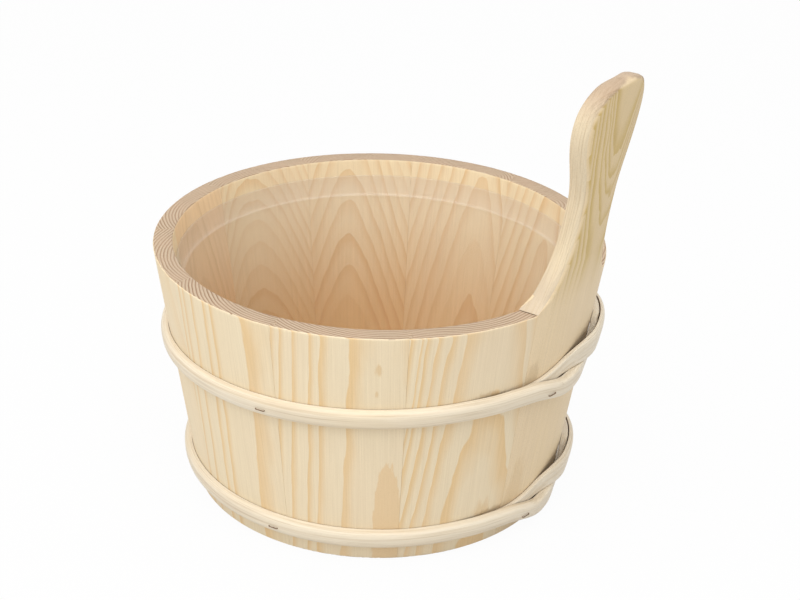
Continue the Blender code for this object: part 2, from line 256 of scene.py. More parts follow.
class NodeBoard:
    """Adds and joins the nodes of one material or world."""

    def __init__(self, owner: Any) -> None:
        """Start a material or a world with no nodes.

        Args:
            owner: The material or world.
        """
        self.owner = owner
        owner.use_nodes = True
        self.tree = owner.node_tree
        self.tree.nodes.clear()

    def node(self, kind: str, sockets: Optional[dict[Any, Any]] = None, **settings: Any) -> bpy.types.Node:
        """Add a node.

        Args:
            kind: Kind of shader node, without the prefix that all of them share.
            sockets: Inputs by name or number, each with a socket to link or a value to set.
            settings: Other properties of the node.

        Returns:
            The new node.
        """
        node = self.tree.nodes.new(f"ShaderNode{kind}")
        for key, value in settings.items():
            setattr(node, key, value)
        for key, value in (sockets or {}).items():
            if isinstance(value, Socket):
                self.tree.links.new(value, node.inputs[key])
            else:
                node.inputs[key].default_value = value
        return node

    def math(self, operation: str, *values: Any) -> Socket:
        """Result of a Math node."""
        return self.node("Math", dict(enumerate(values)), operation=operation).outputs[0]

    def times(self, first: Any, second: Any) -> Socket:
        """Product of two values."""
        return self.math("MULTIPLY", first, second)

    def plus(self, first: Any, second: Any) -> Socket:
        """Sum of two values."""
        return self.math("ADD", first, second)

    def minus(self, first: Any, second: Any) -> Socket:
        """Difference of two values."""
        return self.math("SUBTRACT", first, second)

    def here(self) -> Socket:
        """Place on the piece."""
        return self.node("TexCoord").outputs["Object"]

    def parts(self, vector: Socket) -> list[Socket]:
        """The three parts of a vector."""
        return list(self.node("SeparateXYZ", {"Vector": vector}).outputs)

    def scaled(self, vector: Socket, scales: Sequence[float]) -> Socket:
        """Vector scaled along each axis."""
        return self.node("VectorMath", {0: vector, 1: tuple(scales)}, operation="MULTIPLY").outputs["Vector"]

    def length(self, vector: Socket) -> Socket:
        """Length of a vector."""
        return self.node("VectorMath", {0: vector}, operation="LENGTH").outputs["Value"]

    def mapped(self, vector: Socket, turn: Sequence[float], shift: Sequence[float]) -> Socket:
        """Vector turned and then shifted by a Mapping node."""
        return self.node("Mapping", {"Vector": vector, "Rotation": turn, "Location": shift}).outputs["Vector"]

    def noise(self, vector: Socket, grain: Grain) -> Socket:
        """Noise about 0.5 over a vector.

        Args:
            vector: Place that the noise is read at.
            grain: How finely the noise varies.

        Returns:
            The noise.
        """
        *scales, detail = grain.value
        sockets = {"Vector": self.scaled(vector, scales), "Scale": 1.0, "Detail": detail}
        return self.node("TexNoise", sockets).outputs["Fac"]

    def centred(self, value: Socket, reach: float) -> Socket:
        """A noise value moved to lie about 0, times a reach."""
        return self.times(self.minus(value, 0.5), reach)

    def about(self, middle: Any, value: Socket, reach: float) -> Socket:
        """A noise value moved to lie about a middle, times a reach."""
        return self.plus(self.centred(value, reach), middle)

    def ramp(self, value: Socket, stops: Stops) -> Socket:
        """Colour from a ramp with the given stops.

        Args:
            value: Place along the ramp.
            stops: Places from 0 to 1 in order, each with its colour.

        Returns:
            The colour.
        """
        node = self.node("ValToRGB", {"Fac": value})
        elements = node.color_ramp.elements
        while len(elements) < len(stops):
            elements.new(1.0)
        for element, (place, colour) in zip(elements, stops):
            element.position = place
            element.color = colour
        return node.outputs["Color"]

    def mix(self, share: Any, first: Any, second: Any, way: str = "MIX") -> Socket:
        """Two colours mixed by a share."""
        sockets = {"Factor": share, 6: first, 7: second}
        return self.node("Mix", sockets, data_type="RGBA", blend_type=way).outputs[2]

    def tinted(self, colour: Any, tint: Any) -> Socket:
        """Colour multiplied by another."""
        return self.mix(1.0, colour, tint, "MULTIPLY")

    def touched(self, value: Socket, touch: Touch, colour: Any) -> Socket:
        """Colour with a touch of another tone, by a value."""
        share = self.between(value, touch.low, touch.high)
        return self.mix(self.times(share, touch.most), colour, touch.tone)

    def between(self, value: Socket, low: float, high: float) -> Socket:
        """Share of the way of a value from low to high, eased at both ends."""
        sockets = {"Value": value, "From Min": low, "From Max": high}
        return self.node("MapRange", sockets, interpolation_type="SMOOTHSTEP").outputs["Result"]

    def bump(self, height: Socket, distance: float) -> Socket:
        """Normal from a height, as deep as the distance."""
        return self.node("Bump", {"Strength": 1.0, "Distance": distance, "Height": height}).outputs["Normal"]

    def mixed(self, share: Any, first: Socket, second: Socket) -> Socket:
        """Two shaders mixed by a share."""
        return self.node("MixShader", {0: share, 1: first, 2: second}).outputs["Shader"]

    def seen(self) -> Socket:
        """Switch for rays that show a surface: straight, through clear plastic or in a gloss.

        Returns:
            1 for such a ray, and 0 for one that only carries light.
        """
        path = self.node("LightPath").outputs
        direct = self.math("MAXIMUM", path["Is Camera Ray"], path["Is Transmission Ray"])
        return self.math("MAXIMUM", direct, path["Is Glossy Ray"])

    def principled(self, **sockets: Any) -> Socket:
        """Principled shader, with words joined by underscores as socket names."""
        named = {key.replace("_", " "): value for key, value in sockets.items()}
        return self.node("BsdfPrincipled", named).outputs["BSDF"]

    def close(self, shader: Socket, output: str = "OutputMaterial") -> Any:
        """Join a shader to an output and give the material or world back."""
        self.node(output, {"Surface": shader})
        return self.owner


@dataclass(frozen=True)
class Spot:
    """Oval on a board: its middle across and up, its half sizes, and how strongly it shows."""

    across: float
    rise: float
    half_across: float
    half_rise: float
    strength: float = 1.0


@dataclass(frozen=True)
class PineFinish:
    """Planed pine as a solid: growth rings about a pith line, with fibres along it.

    The pith is placed from the bucket's axis: outward along the stave's own radius, and across it.
    """

    pith_out: float = 0.0452
    pith_across: float = 0.0
    spacing: float = 0.0020
    end_spacing: float = 0.0018
    taper: float = 0.003
    taper_from: float = 0.0
    slant: float = 0.0
    slant_level: float = 0.088
    phase: float = 0.0
    seed: float = 0.0
    sway: float = 0.7
    waver: float = 0.42
    contrast: float = 1.0
    least_contrast: float = 0.35
    years: tuple[float, ...] = ()
    inner_years: tuple[float, ...] = (0.0010, 0.0030, 0.0050, 0.0070)
    year_level: float = 0.057
    late_width: float = 0.0013
    late_share: float = 0.6
    late_end: float = 0.004
    late_start: float = 0.5
    year_shares: tuple[tuple[float, float], ...] = (
        (0.0, 0.0), (0.48, 0.1), (0.66, 0.45), (0.84, 0.85), (1.0, 1.0),
    )
    early: Colour = rgb(0.825, 0.700, 0.495)
    late: Colour = rgb(0.780, 0.555, 0.290)
    blush: Touch = Touch(rgb(0.800, 0.640, 0.445), 0.35, 0.42, 0.72)
    streaks: Stops = ((0.25, rgb(0.90, 0.885, 0.86)), (0.75, WHITE))
    speckle: float = 0.045
    speckle_levels: tuple[float, float] = (0.32, 0.60)
    # Painted shade and warm bounce light on the inside of the board, deepening toward the bottom: its share,
    # its tint, and the heights where it starts and where it is full.
    painted_inner_shade: float = 0.0
    painted_inner_shade_tint: Colour = rgb(0.89, 0.660, 0.435)
    painted_inner_shade_heights: tuple[float, float] = (0.125, 0.030)
    tongues: tuple[Spot, ...] = ()
    tongue: Touch = Touch(rgb(0.735, 0.530, 0.300), 1.0, 1.02, 0.95)
    tongue_ragged: float = 0.32
    flecks: tuple[Spot, ...] = ()
    fleck: Touch = Touch(rgb(0.690, 0.495, 0.270), 1.0, 1.05, 0.45)
    stains: tuple[Spot, ...] = ()
    stain: Touch = Touch(rgb(0.400, 0.250, 0.100), 1.0, 1.05, 0.45)
    spot_ragged: float = 1.5
    calm_below: float = 0.0
    calm_run: float = 0.02
    # Painted shade on the middle of the paddle's outer face: the curve and lean of the shaded zone, its
    # depths, how far it darkens the wood and the late wood, and how much it strengthens the years.
    painted_shade_radius: float = 0.1370
    painted_shade_lean: float = 0.0078
    painted_shade_depths: tuple[float, float] = (0.0005, 0.0001)
    painted_shade_base: float = 0.36
    painted_shade_late: float = 0.22
    shaded_face_years: float = 0.72
    lively_years: float = 0.20
    calm_years: float = 0.08
    sawn_tone: Colour = rgb(0.755, 0.640, 0.460)
    sawn_share: float = 0.7
    sawn_lines: Touch = Touch(rgb(0.520, 0.380, 0.210), 0.40, 0.50, 0.62)
    shoulder_tone: Colour = rgb(0.560, 0.450, 0.325)
    shoulder_share: float = 0.75
    shoulder_heights: tuple[float, float] = (0.030, 0.006)
    crown: Optional[Spot] = None
    crown_tone: Colour = rgb(0.415, 0.295, 0.190)
    crown_share: float = 0.60
    crown_edge: tuple[float, float] = (0.92, 1.00)
    crown_rise: tuple[float, float] = (0.05, 0.98)
    crown_ragged: float = 0.10
    crown_lines: Touch = Touch(rgb(0.310, 0.195, 0.110), 0.35, 0.48, 0.66)
    end_year: Stops = (
        (0.0, rgb(0.555, 0.450, 0.330)),
        (0.50, rgb(0.520, 0.405, 0.285)),
        (0.74, rgb(0.270, 0.160, 0.090)),
        (0.95, rgb(0.285, 0.170, 0.097)),
        (1.0, rgb(0.555, 0.450, 0.330)),
    )
    end_plain: Colour = rgb(0.495, 0.380, 0.265)
    end_least: float = 0.5
    end_patch: Touch = Touch(rgb(0.520, 0.370, 0.255), 0.35, 0.35, 0.7)
    end_specks: Stops = ((0.3, rgb(0.84, 0.80, 0.76)), (0.7, WHITE))
    lean: float = SHELL.flare_angle
    rim: float = SHELL.height
    face_out: float = 0.1032
    face_radius: float = 0.1150
    wall_step: tuple[float, float] = (0.0060, 0.0085)
    roughness: float = 0.56
    roughness_reach: float = 0.16
    end_roughness: float = 0.78
    end_roughness_reach: float = 0.2
    relief: float = 0.00012
    year_relief: float = 0.6
    end_relief: float = 0.0002

    @property
    def face(self) -> float:
        """Distance of the board's outside from the pith."""
        return self.face_out - self.pith_out

    def along(self, z: float) -> float:
        """Place along the board of a height on its outside."""
        return z * math.cos(self.lean) + self.face_radius * math.sin(self.lean)

    def seeded(self, z: float) -> float:
        """Place along the board of a height on its outside, with the seed."""
        return self.seed + self.along(z)

    def reach(self, across: float, z: float) -> float:
        """Distance from the pith, with the taper, of a place on the outside of the board.

        Args:
            across: Place across the board, from its middle.
            z: Height of the place.

        Returns:
            The distance.
        """
        deep = self.face - across**2 / (2.0 * self.face_radius)
        grown = self.taper * max(self.along(z) - self.taper_from, 0.0)
        return math.hypot(deep, across - self.pith_across) + grown

    def teeth(self) -> list[float]:
        """Distances from the pith at which a year ends.

        Returns:
            The distances, from the deepest to the farthest.
        """
        axis = self.pith_across / (1.0 - self.face / self.face_radius)
        nearest = self.reach(axis, self.year_level)
        deep = sorted(nearest - under for under in self.inner_years)
        shown = sorted(self.reach(across, self.year_level) for across in self.years)
        return deep + shown + [shown[-1] + self.spacing]

    def material(self, name: str, azimuth: float, cut: Cut) -> bpy.types.Material:
        """Material of one surface of a board that looks to an azimuth."""
        return PineSurface(self, name, azimuth, cut).material()


class PineSurface(NodeBoard):
    """Works out the material of one surface of a pine board."""

    def __init__(self, pine: PineFinish, name: str, azimuth: float, cut: Cut) -> None:
        """Start the material with the patterns that its colour, gloss and relief share.

        Args:
            pine: Finish of the board.
            name: Name of the material.
            azimuth: Azimuth that the board's outer face looks to.
            cut: Which way the surface was cut from the board.
        """
        super().__init__(bpy.data.materials.new(name))
        self.pine, self.azimuth, self.cut = pine, azimuth, cut
        faced = self.mapped(self.here(), (0.0, 0.0, -azimuth), (0.0, 0.0, 0.0))
        bare = self.mapped(faced, (0.0, -pine.lean, 0.0), (-pine.pith_out, -pine.pith_across, 0.0))
        self.place = self.mapped(bare, (0.0, 0.0, 0.0), (0.0, 0.0, pine.seed))
        self.fibres = self.noise(self.place, Grain.FIBRES)
        self.grit = self.noise(self.place, Grain.GRIT)
        self.year, self.strength = self.rings(self.distance(bare))

    def material(self) -> bpy.types.Material:
        """Join the colour, gloss and relief of the surface.

        Returns:
            The finished material.
        """
        pine = self.pine
        if self.cut is Cut.END:
            colour = self.end_colour()
            rough = self.about(pine.end_roughness, self.grit, pine.end_roughness_reach)
            normal = self.bump(self.plus(self.grit, self.year), pine.end_relief)
        else:
            colour = self.marked(self.face_colour())
            if self.cut is Cut.EDGE:
                colour = self.sawn(colour)
            if pine.crown:
                colour = self.crowned(colour)
            low, high = pine.speckle_levels
            speckles = ((low, grey(1.0 - pine.speckle)), (high, WHITE))
            colour = self.tinted(colour, self.ramp(self.grit, speckles))
            rough = self.about(pine.roughness, self.fibres, pine.roughness_reach)
            height = self.plus(self.fibres, self.times(self.year, pine.year_relief))
            normal = self.bump(height, pine.relief)
        return self.close(self.principled(Base_Color=colour, Roughness=rough, Normal=normal, IOR=WOOD_IOR))

    def distance(self, bare: Socket) -> Socket:
        """Distance from the pith, with the taper and the waviness of the rings.

        Args:
            bare: Place in the board's own frame, outward, across and along from the pith.

        Returns:
            The distance.
        """
        pine = self.pine
        out, across, along = self.parts(bare)
        beyond = self.math("MAXIMUM", self.minus(along, pine.taper_from), 0.0)
        drift = self.times(self.minus(beyond, pine.slant_level), pine.slant)
        flat = self.node("CombineXYZ", {"X": out, "Y": self.plus(across, drift)}).outputs["Vector"]
        grown = self.plus(self.length(flat), self.times(beyond, pine.taper))
        sway = self.centred(self.noise(self.place, Grain.SWAY), pine.sway * pine.spacing)
        waver = self.centred(self.noise(self.place, Grain.WAVER), pine.waver * pine.spacing)
        return self.plus(grown, self.plus(sway, waver))

    def rings(self, total: Socket) -> tuple[Socket, Any]:
        """Growth rings: those of given years on a face that has them, and otherwise even ones.

        Args:
            total: Distance from the pith.

        Returns:
            Share of the way through a ring's year, and how strongly its late wood shows.
        """
        pine = self.pine
        if pine.years and self.cut is not Cut.END:
            teeth = pine.teeth()
            span = teeth[-1] - teeth[0]
            stops = [(0.0, grey(0.0))]
            for inner, tooth in zip(teeth, teeth[1:]):
                share = (tooth - teeth[0]) / span
                width = min(pine.late_width, pine.late_share * (tooth - inner)) / span
                stops += [
                    (share - width, grey(pine.late_start)),
                    (share - pine.late_end, WHITE),
                    (share, grey(0.0)),
                ]
            return self.ramp(self.math("DIVIDE", self.minus(total, teeth[0]), span), stops), pine.contrast
        spacing = pine.end_spacing if self.cut is Cut.END else pine.spacing
        count = self.plus(self.math("DIVIDE", total, spacing), pine.phase)
        lot = self.node("TexWhiteNoise", {"W": self.math("FLOOR", count)}, noise_dimensions="1D")
        strength = self.times(self.plus(lot.outputs["Value"], pine.least_contrast), pine.contrast)
        return self.math("FRACT", count), self.math("MINIMUM", strength, 1.0)

    def face_colour(self) -> Socket:
        """Colour of a face along the grain: cream wood, with late wood that ends sharply.

        Returns:
            The colour.
        """
        pine = self.pine
        stops = [(at, blend(pine.early, pine.late, share)) for at, share in pine.year_shares]
        year = self.ramp(self.year, stops)
        base, strength = pine.early, self.strength
        if pine.calm_below:
            shown, shaded = self.liveliness()
            strength = self.times(strength, shown)
            # Painted shade darkens the middle of the paddle's outer face.
            base = self.mix(shaded, pine.early, blend(pine.early, pine.late, pine.painted_shade_base))
            year = self.mix(shaded, year, self.mix(pine.painted_shade_late, year, pine.late))
        colour = self.mix(strength, base, year)
        colour = self.touched(self.noise(self.place, Grain.BLUSH), pine.blush, colour)
        # Painted shade and warm bounce light: the inside is darkened and warmed toward the bottom.
        if pine.painted_inner_shade:
            low = self.between(self.parts(self.place)[2], *(pine.seeded(z) for z in pine.painted_inner_shade_heights))
            share = self.times(self.times(self.inside(), low), pine.painted_inner_shade)
            colour = self.mix(share, colour, self.tinted(colour, pine.painted_inner_shade_tint))
        return self.tinted(colour, self.ramp(self.fibres, pine.streaks))

    def liveliness(self) -> tuple[Socket, Socket]:
        """Where the years of the handle show and where painted shade darkens the middle of its face.

        Returns:
            Share of the years' strength, and share of the painted shade.
        """
        pine = self.pine
        out, off_pith, along = self.parts(self.place)
        low = pine.seed + pine.calm_below
        lively = self.between(along, low - pine.calm_run, low + pine.calm_run)
        across = self.plus(off_pith, pine.pith_across)
        fall = self.math("DIVIDE", self.times(across, across), 2.0 * pine.painted_shade_radius)
        above = self.math("MAXIMUM", self.minus(along, pine.seeded(pine.rim)), 0.0)
        level = self.minus(self.plus(out, fall), self.times(above, pine.painted_shade_lean))
        # Painted shade zone: the middle of the paddle's outer face, above the rim.
        shaded = self.times(lively, self.between(level, *(pine.face - depth for depth in pine.painted_shade_depths)))
        shown = self.plus(self.times(shaded, pine.shaded_face_years), self.times(lively, pine.lively_years))
        return self.plus(shown, pine.calm_years), shaded

    def inside(self) -> Socket:
        """1 on the inside of the board and 0 on its outside, with the step in the wall."""
        steps = (self.pine.face - depth for depth in self.pine.wall_step)
        return self.between(self.parts(self.place)[0], *steps)

    def oval(self, spot: Spot, grain: Grain, ragged: float) -> tuple[Socket, Socket, Socket]:
        """Distance from the middle of a spot, counted in its half sizes.

        Args:
            spot: The spot.
            grain: Noise of the spot's edge.
            ragged: How much the edge strays.

        Returns:
            Place from the spot's middle, the same in its half sizes, and the distance with its ragged edge.
        """
        near = self.mapped(self.here(), (0.0, 0.0, -self.azimuth), (0.0, -spot.across, -spot.rise))
        shape = self.scaled(near, (0.0, 1.0 / spot.half_across, 1.0 / spot.half_rise))
        return near, shape, self.plus(self.length(shape), self.centred(self.noise(near, grain), ragged))

    def marked(self, colour: Socket) -> Socket:
        """Colour with the marks of the board's outside: a brown tongue, flecks and stains.

        Args:
            colour: Colour of the bare face.

        Returns:
            The colour with the marks.
        """
        pine, marked = self.pine, colour
        for spots, mark, grain, ragged in (
            (pine.tongues, pine.tongue, Grain.TONGUE, pine.tongue_ragged),
            (pine.flecks, pine.fleck, Grain.SPOT, pine.spot_ragged),
            (pine.stains, pine.stain, Grain.SPOT, pine.spot_ragged),
        ):
            for spot in spots:
                far = self.oval(spot, grain, ragged)[2]
                marked = self.touched(far, replace(mark, most=spot.strength), marked)
        return colour if marked is colour else self.mix(self.inside(), marked, colour)

    def sawn(self, colour: Socket) -> Socket:
        """Colour of an edge that was sawn and sanded: pale, with lines along it, duller at the shoulder.

        Args:
            colour: Colour of the face.

        Returns:
            The colour of the edge.
        """
        pine = self.pine
        heights = (pine.seeded(pine.rim + height) for height in pine.shoulder_heights)
        shoulder = Touch(pine.shoulder_tone, pine.shoulder_share, *heights)
        pale = self.mix(pine.sawn_share, colour, pine.sawn_tone)
        pale = self.touched(self.parts(self.place)[2], shoulder, pale)
        return self.touched(self.noise(self.place, Grain.SAWN), pine.sawn_lines, pale)

    def crowned(self, colour: Socket) -> Socket:
        """Colour that turns to that of an end of the grain round the top of the paddle.

        Args:
            colour: Colour of the face.

        Returns:
            The blended colour.
        """
        pine = self.pine
        near, shape, far = self.oval(pine.crown, Grain.CROWN, pine.crown_ragged)
        high = self.between(self.parts(shape)[2], *pine.crown_rise)
        share = self.times(self.between(far, *pine.crown_edge), high)
        brown = self.mix(pine.crown_share, self.end_colour(), pine.crown_tone)
        brown = self.touched(self.noise(near, Grain.CROWN_LINES), pine.crown_lines, brown)
        return self.mix(share, colour, brown)

    def end_colour(self) -> Socket:
        """Colour of an end of the grain: browner, with thin dark lines of late wood.

        Returns:
            The colour.
        """
        pine = self.pine
        strength = self.plus(self.times(self.strength, 1.0 - pine.end_least), pine.end_least)
        colour = self.mix(strength, pine.end_plain, self.ramp(self.year, pine.end_year))
        colour = self.touched(self.noise(self.place, Grain.PATCH), pine.end_patch, colour)
        return self.tinted(colour, self.ramp(self.grit, pine.end_specks))


@dataclass(frozen=True)
class CaneFinish:
    """Split cane: a pale strip with fine fibres that run along it, and a back darkened as painted shade."""

    seed: float = 0.0
    strand: str = "strand"
    tones: Stops = (
        (0.26, rgb(0.650, 0.535, 0.380)),
        (0.44, rgb(0.750, 0.652, 0.500)),
        (0.70, rgb(0.785, 0.702, 0.560)),
    )
    warm: Touch = Touch(rgb(0.720, 0.590, 0.400), 0.5, 0.45, 0.75)
    lines: Stops = ((0.30, rgb(0.76, 0.70, 0.62)), (0.52, WHITE))
    line_share: float = 0.72
    # Painted shade: the back of the strip, which lies against the staves, is darkened brown so that the gaps
    # behind the hoop look shaded.
    back: Touch = Touch(rgb(0.190, 0.100, 0.042), 0.92, 0.00010, 0.00002)
    roughness: float = 0.46
    roughness_reach: float = 0.25
    relief: float = 0.00022

    def material(self, name: str) -> bpy.types.Material:
        """Material of one strip, read along the strip by its attribute.

        Args:
            name: Name of the material.

        Returns:
            The material.
        """
        board = NodeBoard(bpy.data.materials.new(name))
        strand = board.node("Attribute", attribute_name=self.strand).outputs["Vector"]
        place = board.mapped(strand, (0.0, 0.0, 0.0), (self.seed, 0.0, 0.0))
        fine, broad, slow = (
            board.noise(place, grain) for grain in (Grain.CANE_FINE, Grain.CANE_BROAD, Grain.CANE_SLOW)
        )
        colour = board.touched(slow, self.warm, board.ramp(broad, self.tones))
        lined = board.tinted(colour, board.ramp(fine, self.lines))
        colour = board.mix(self.line_share, colour, lined)
        # Painted shade on the back of the strip, by its depth from the back.
        colour = board.touched(board.parts(place)[2], self.back, colour)
        normal = board.bump(board.plus(fine, broad), self.relief)
        rough = board.about(self.roughness, fine, self.roughness_reach)
        return board.close(board.principled(Base_Color=colour, Roughness=rough, Normal=normal, IOR=WOOD_IOR))


class Film(Enum):
    """Parts of the liner that catch the light in their own way, with how milky each looks."""

    WALL = 0.035
    BAND = 0.075
    EDGE = 0.09


@dataclass(frozen=True)
class ClearPlasticFinish:
    """Clear moulded plastic: a faint haze and a gloss over what is behind it."""

    tint: Colour = rgb(0.998, 0.988, 0.980)
    haze: Colour = rgb(0.970, 0.900, 0.850)
    roughness: float = 0.14
    relief: float = 0.0003
    facing_gloss: float = 0.010
    grazing_gloss: float = 0.16
    grazing_power: float = 4.0

    def material(self, name: str, film: Film) -> bpy.types.Material:
        """Material of one part of the liner.

        Args:
            name: Name of the material.
            film: The part of the liner.

        Returns:
            The new material.
        """
        board = NodeBoard(bpy.data.materials.new(name))
        normal = board.bump(board.noise(board.here(), Grain.PLASTIC), self.relief)
        clear = board.node("BsdfTransparent", {"Color": self.tint}).outputs["BSDF"]
        milk = board.node("BsdfDiffuse", {"Color": self.haze}).outputs["BSDF"]
        polish = {"Roughness": self.roughness, "Normal": normal}
        gloss = board.node("BsdfAnisotropic", polish, distribution="GGX").outputs["BSDF"]
        facing = board.node("LayerWeight", {"Normal": normal}).outputs["Facing"]
        graze = board.math("POWER", facing, self.grazing_power)
        shine = board.plus(board.times(graze, self.grazing_gloss), self.facing_gloss)
        return board.close(board.mixed(shine, board.mixed(film.value, clear, milk), gloss))


@dataclass(frozen=True)
class WireFinish:
    """Dull wire with brown stains."""

    tones: Stops = ((0.35, rgb(0.150, 0.080, 0.035)), (0.65, rgb(0.230, 0.150, 0.090)))
    metallic: float = 0.4
    roughness: float = 0.5
    roughness_reach: float = 0.3
    relief: float = 0.0001

    def material(self, name: str) -> bpy.types.Material:
        """Material of one staple.

        Args:
            name: Name of the material.

        Returns:
            The material.
        """
        board = NodeBoard(bpy.data.materials.new(name))
        stain = board.noise(board.here(), Grain.WIRE)
        colour = board.ramp(stain, self.tones)
        rough = board.about(self.roughness, stain, self.roughness_reach)
        normal = board.bump(stain, self.relief)
        return board.close(
            board.principled(Base_Color=colour, Roughness=rough, Metallic=self.metallic, Normal=normal)
        )


@dataclass
class Stave:
    """One plain stave, with a tongue on its far side and a groove on its near side."""

    shell: Shell
    node: str
    index: int
    finish: PineFinish
    arc_steps: int = 44
    tongue_width: float = 0.0028
    tongue_depth: float = 0.0018
    tongue_clearance: float = 0.0001
    corner_ease: float = 0.00010
    rim_round: float = 0.0007
    rim_turns: tuple[float, ...] = (deg(30.0), deg(60.0), deg(90.0))
    rim_lead: float = 0.0021
    rim_tear: float = 0.00035
    lead_tear_share: float = 0.3
    tear_scale: float = 900.0
    tear_seed: float = 30.0
    tear_level: float = 0.05
    croze_clearance: float = 0.0002
    croze_flank: float = 0.0004
    end_limit: float = 0.75
    cuts: tuple[Cut, ...] = (Cut.FACE, Cut.END)

    @property
    def azimuth(self) -> float:
        """Azimuth of the stave's middle."""
        return self.shell.handle_azimuth - self.index * self.shell.pitch

    def side(self, radius: float, sign: float) -> float:
        """Azimuth of a joint face at a radius."""
        return self.azimuth + sign * (self.shell.pitch / 2.0 - self.shell.joint_gap / 2.0 / radius)

    def arc(self, radius: float, sign: float, z: float, inset: float, tear: float) -> Ring:
        """Points across the stave at a radius, with eased corners.

        Args:
            radius: Radius of the surface.
            sign: 1 for the outside, which runs forward, and -1 for the inside, which runs back.
            z: Height of the points.
            inset: Distance into the wall that the whole arc is moved.
            tear: Most that the surface is torn back at places along the arc.

        Returns:
            The points in order.
        """
        ease_angle = self.corner_ease / radius
        start = self.side(radius, -sign)
        end = self.side(radius, sign)
        middle = spread(start + sign * ease_angle, end - sign * ease_angle, self.arc_steps - 1)
        turns = [start] + middle + [end]
        points = []
        for k, turn in enumerate(turns):
            pulled = inset + (self.corner_ease if k in (0, len(turns) - 1) else 0.0)
            if tear:
                rough = noise.noise(polar(self.tear_scale * radius, turn, self.tear_seed * self.index))
                pulled += tear * max(0.0, rough - self.tear_level) * 2.0
            points.append(polar(radius - sign * pulled, turn, z))
        return points

    def ring(self, z: float, cut: float = 0.0, inset: float = 0.0, tear: float = 0.0) -> Ring:
        """Section of the stave at a height.

        Args:
            z: Height of the section.
            cut: Depth of the groove for the boards at this height.
            inset: Rounding of the edges at this height.
            tear: Most that the outer edge is torn at this height.

        Returns:
            Points round the section.
        """
        outer = self.shell.outer(z)
        inner = self.shell.inner(z) + cut
        middle = outer - (self.shell.wall - self.shell.croze_depth) / 2.0
        high, low = middle + self.tongue_width / 2.0, middle - self.tongue_width / 2.0
        ring = self.arc(outer, 1.0, z, inset, tear)
        for radius, reach in ((high, 0.0), (high, self.tongue_depth), (low, self.tongue_depth), (low, 0.0)):
            ring.append(polar(radius, self.side(radius, 1.0) + reach / radius, z))
        ring += self.arc(inner, -1.0, z, inset, 0.0)
        high, low = high + self.tongue_clearance, low - self.tongue_clearance
        floor = self.tongue_depth + self.tongue_clearance
        for radius, reach in ((low, 0.0), (low, floor), (high, floor), (high, 0.0)):
            ring.append(polar(radius, self.side(radius, -1.0) + reach / radius, z))
        return ring

    def wall_rings(self) -> list[Ring]:
        """Sections from the foot to just under the rim's rounding.

        Returns:
            Rings of points, from the foot up.
        """
        shell = self.shell
        low, high = shell.board_lift - self.croze_clearance, shell.board_top + self.croze_clearance
        return [
            self.ring(0.0, inset=self.rim_round, tear=self.rim_tear),
            self.ring(self.rim_round),
            self.ring(low - self.croze_flank),
            self.ring(low, cut=shell.croze_depth),
            self.ring(high, cut=shell.croze_depth),
            self.ring(high + self.croze_flank),
            self.ring(shell.height * 0.5),
            self.ring(shell.height - self.rim_lead),
            self.ring(shell.height - self.rim_round, tear=self.lead_tear_share * self.rim_tear),
        ]

    def rings(self) -> list[Ring]:
        """Sections from the foot to the rim.

        Returns:
            Rings of points, from the foot up.
        """
        top = []
        for turn in self.rim_turns:
            z = self.shell.height - self.rim_round * (1.0 - math.sin(turn))
            inset = self.rim_round * (1.0 - math.cos(turn))
            top.append(self.ring(z, inset=inset, tear=self.rim_tear * turn / self.rim_turns[-1]))
        return self.wall_rings() + top

    def cut(self, face: bmesh.types.BMFace) -> Cut:
        """Which way a face is cut: the foot and the rim go across the grain."""
        return Cut.END if abs(face.normal.z) > self.end_limit else Cut.FACE

    def build(self) -> bpy.types.Object:
        """Build and dress the stave.

        Returns:
            The new object.
        """
        bm = sweep(self.rings())
        for face in bm.faces:
            face.material_index = self.cuts.index(self.cut(face))
        materials = [
            self.finish.material(f"{self.node}_{cut.value}_pine", self.azimuth, cut) for cut in self.cuts
        ]
        return add_piece(f"{self.node}_wood", bm, materials, BUCKET_BODY, Slot.PINE, [self.node])


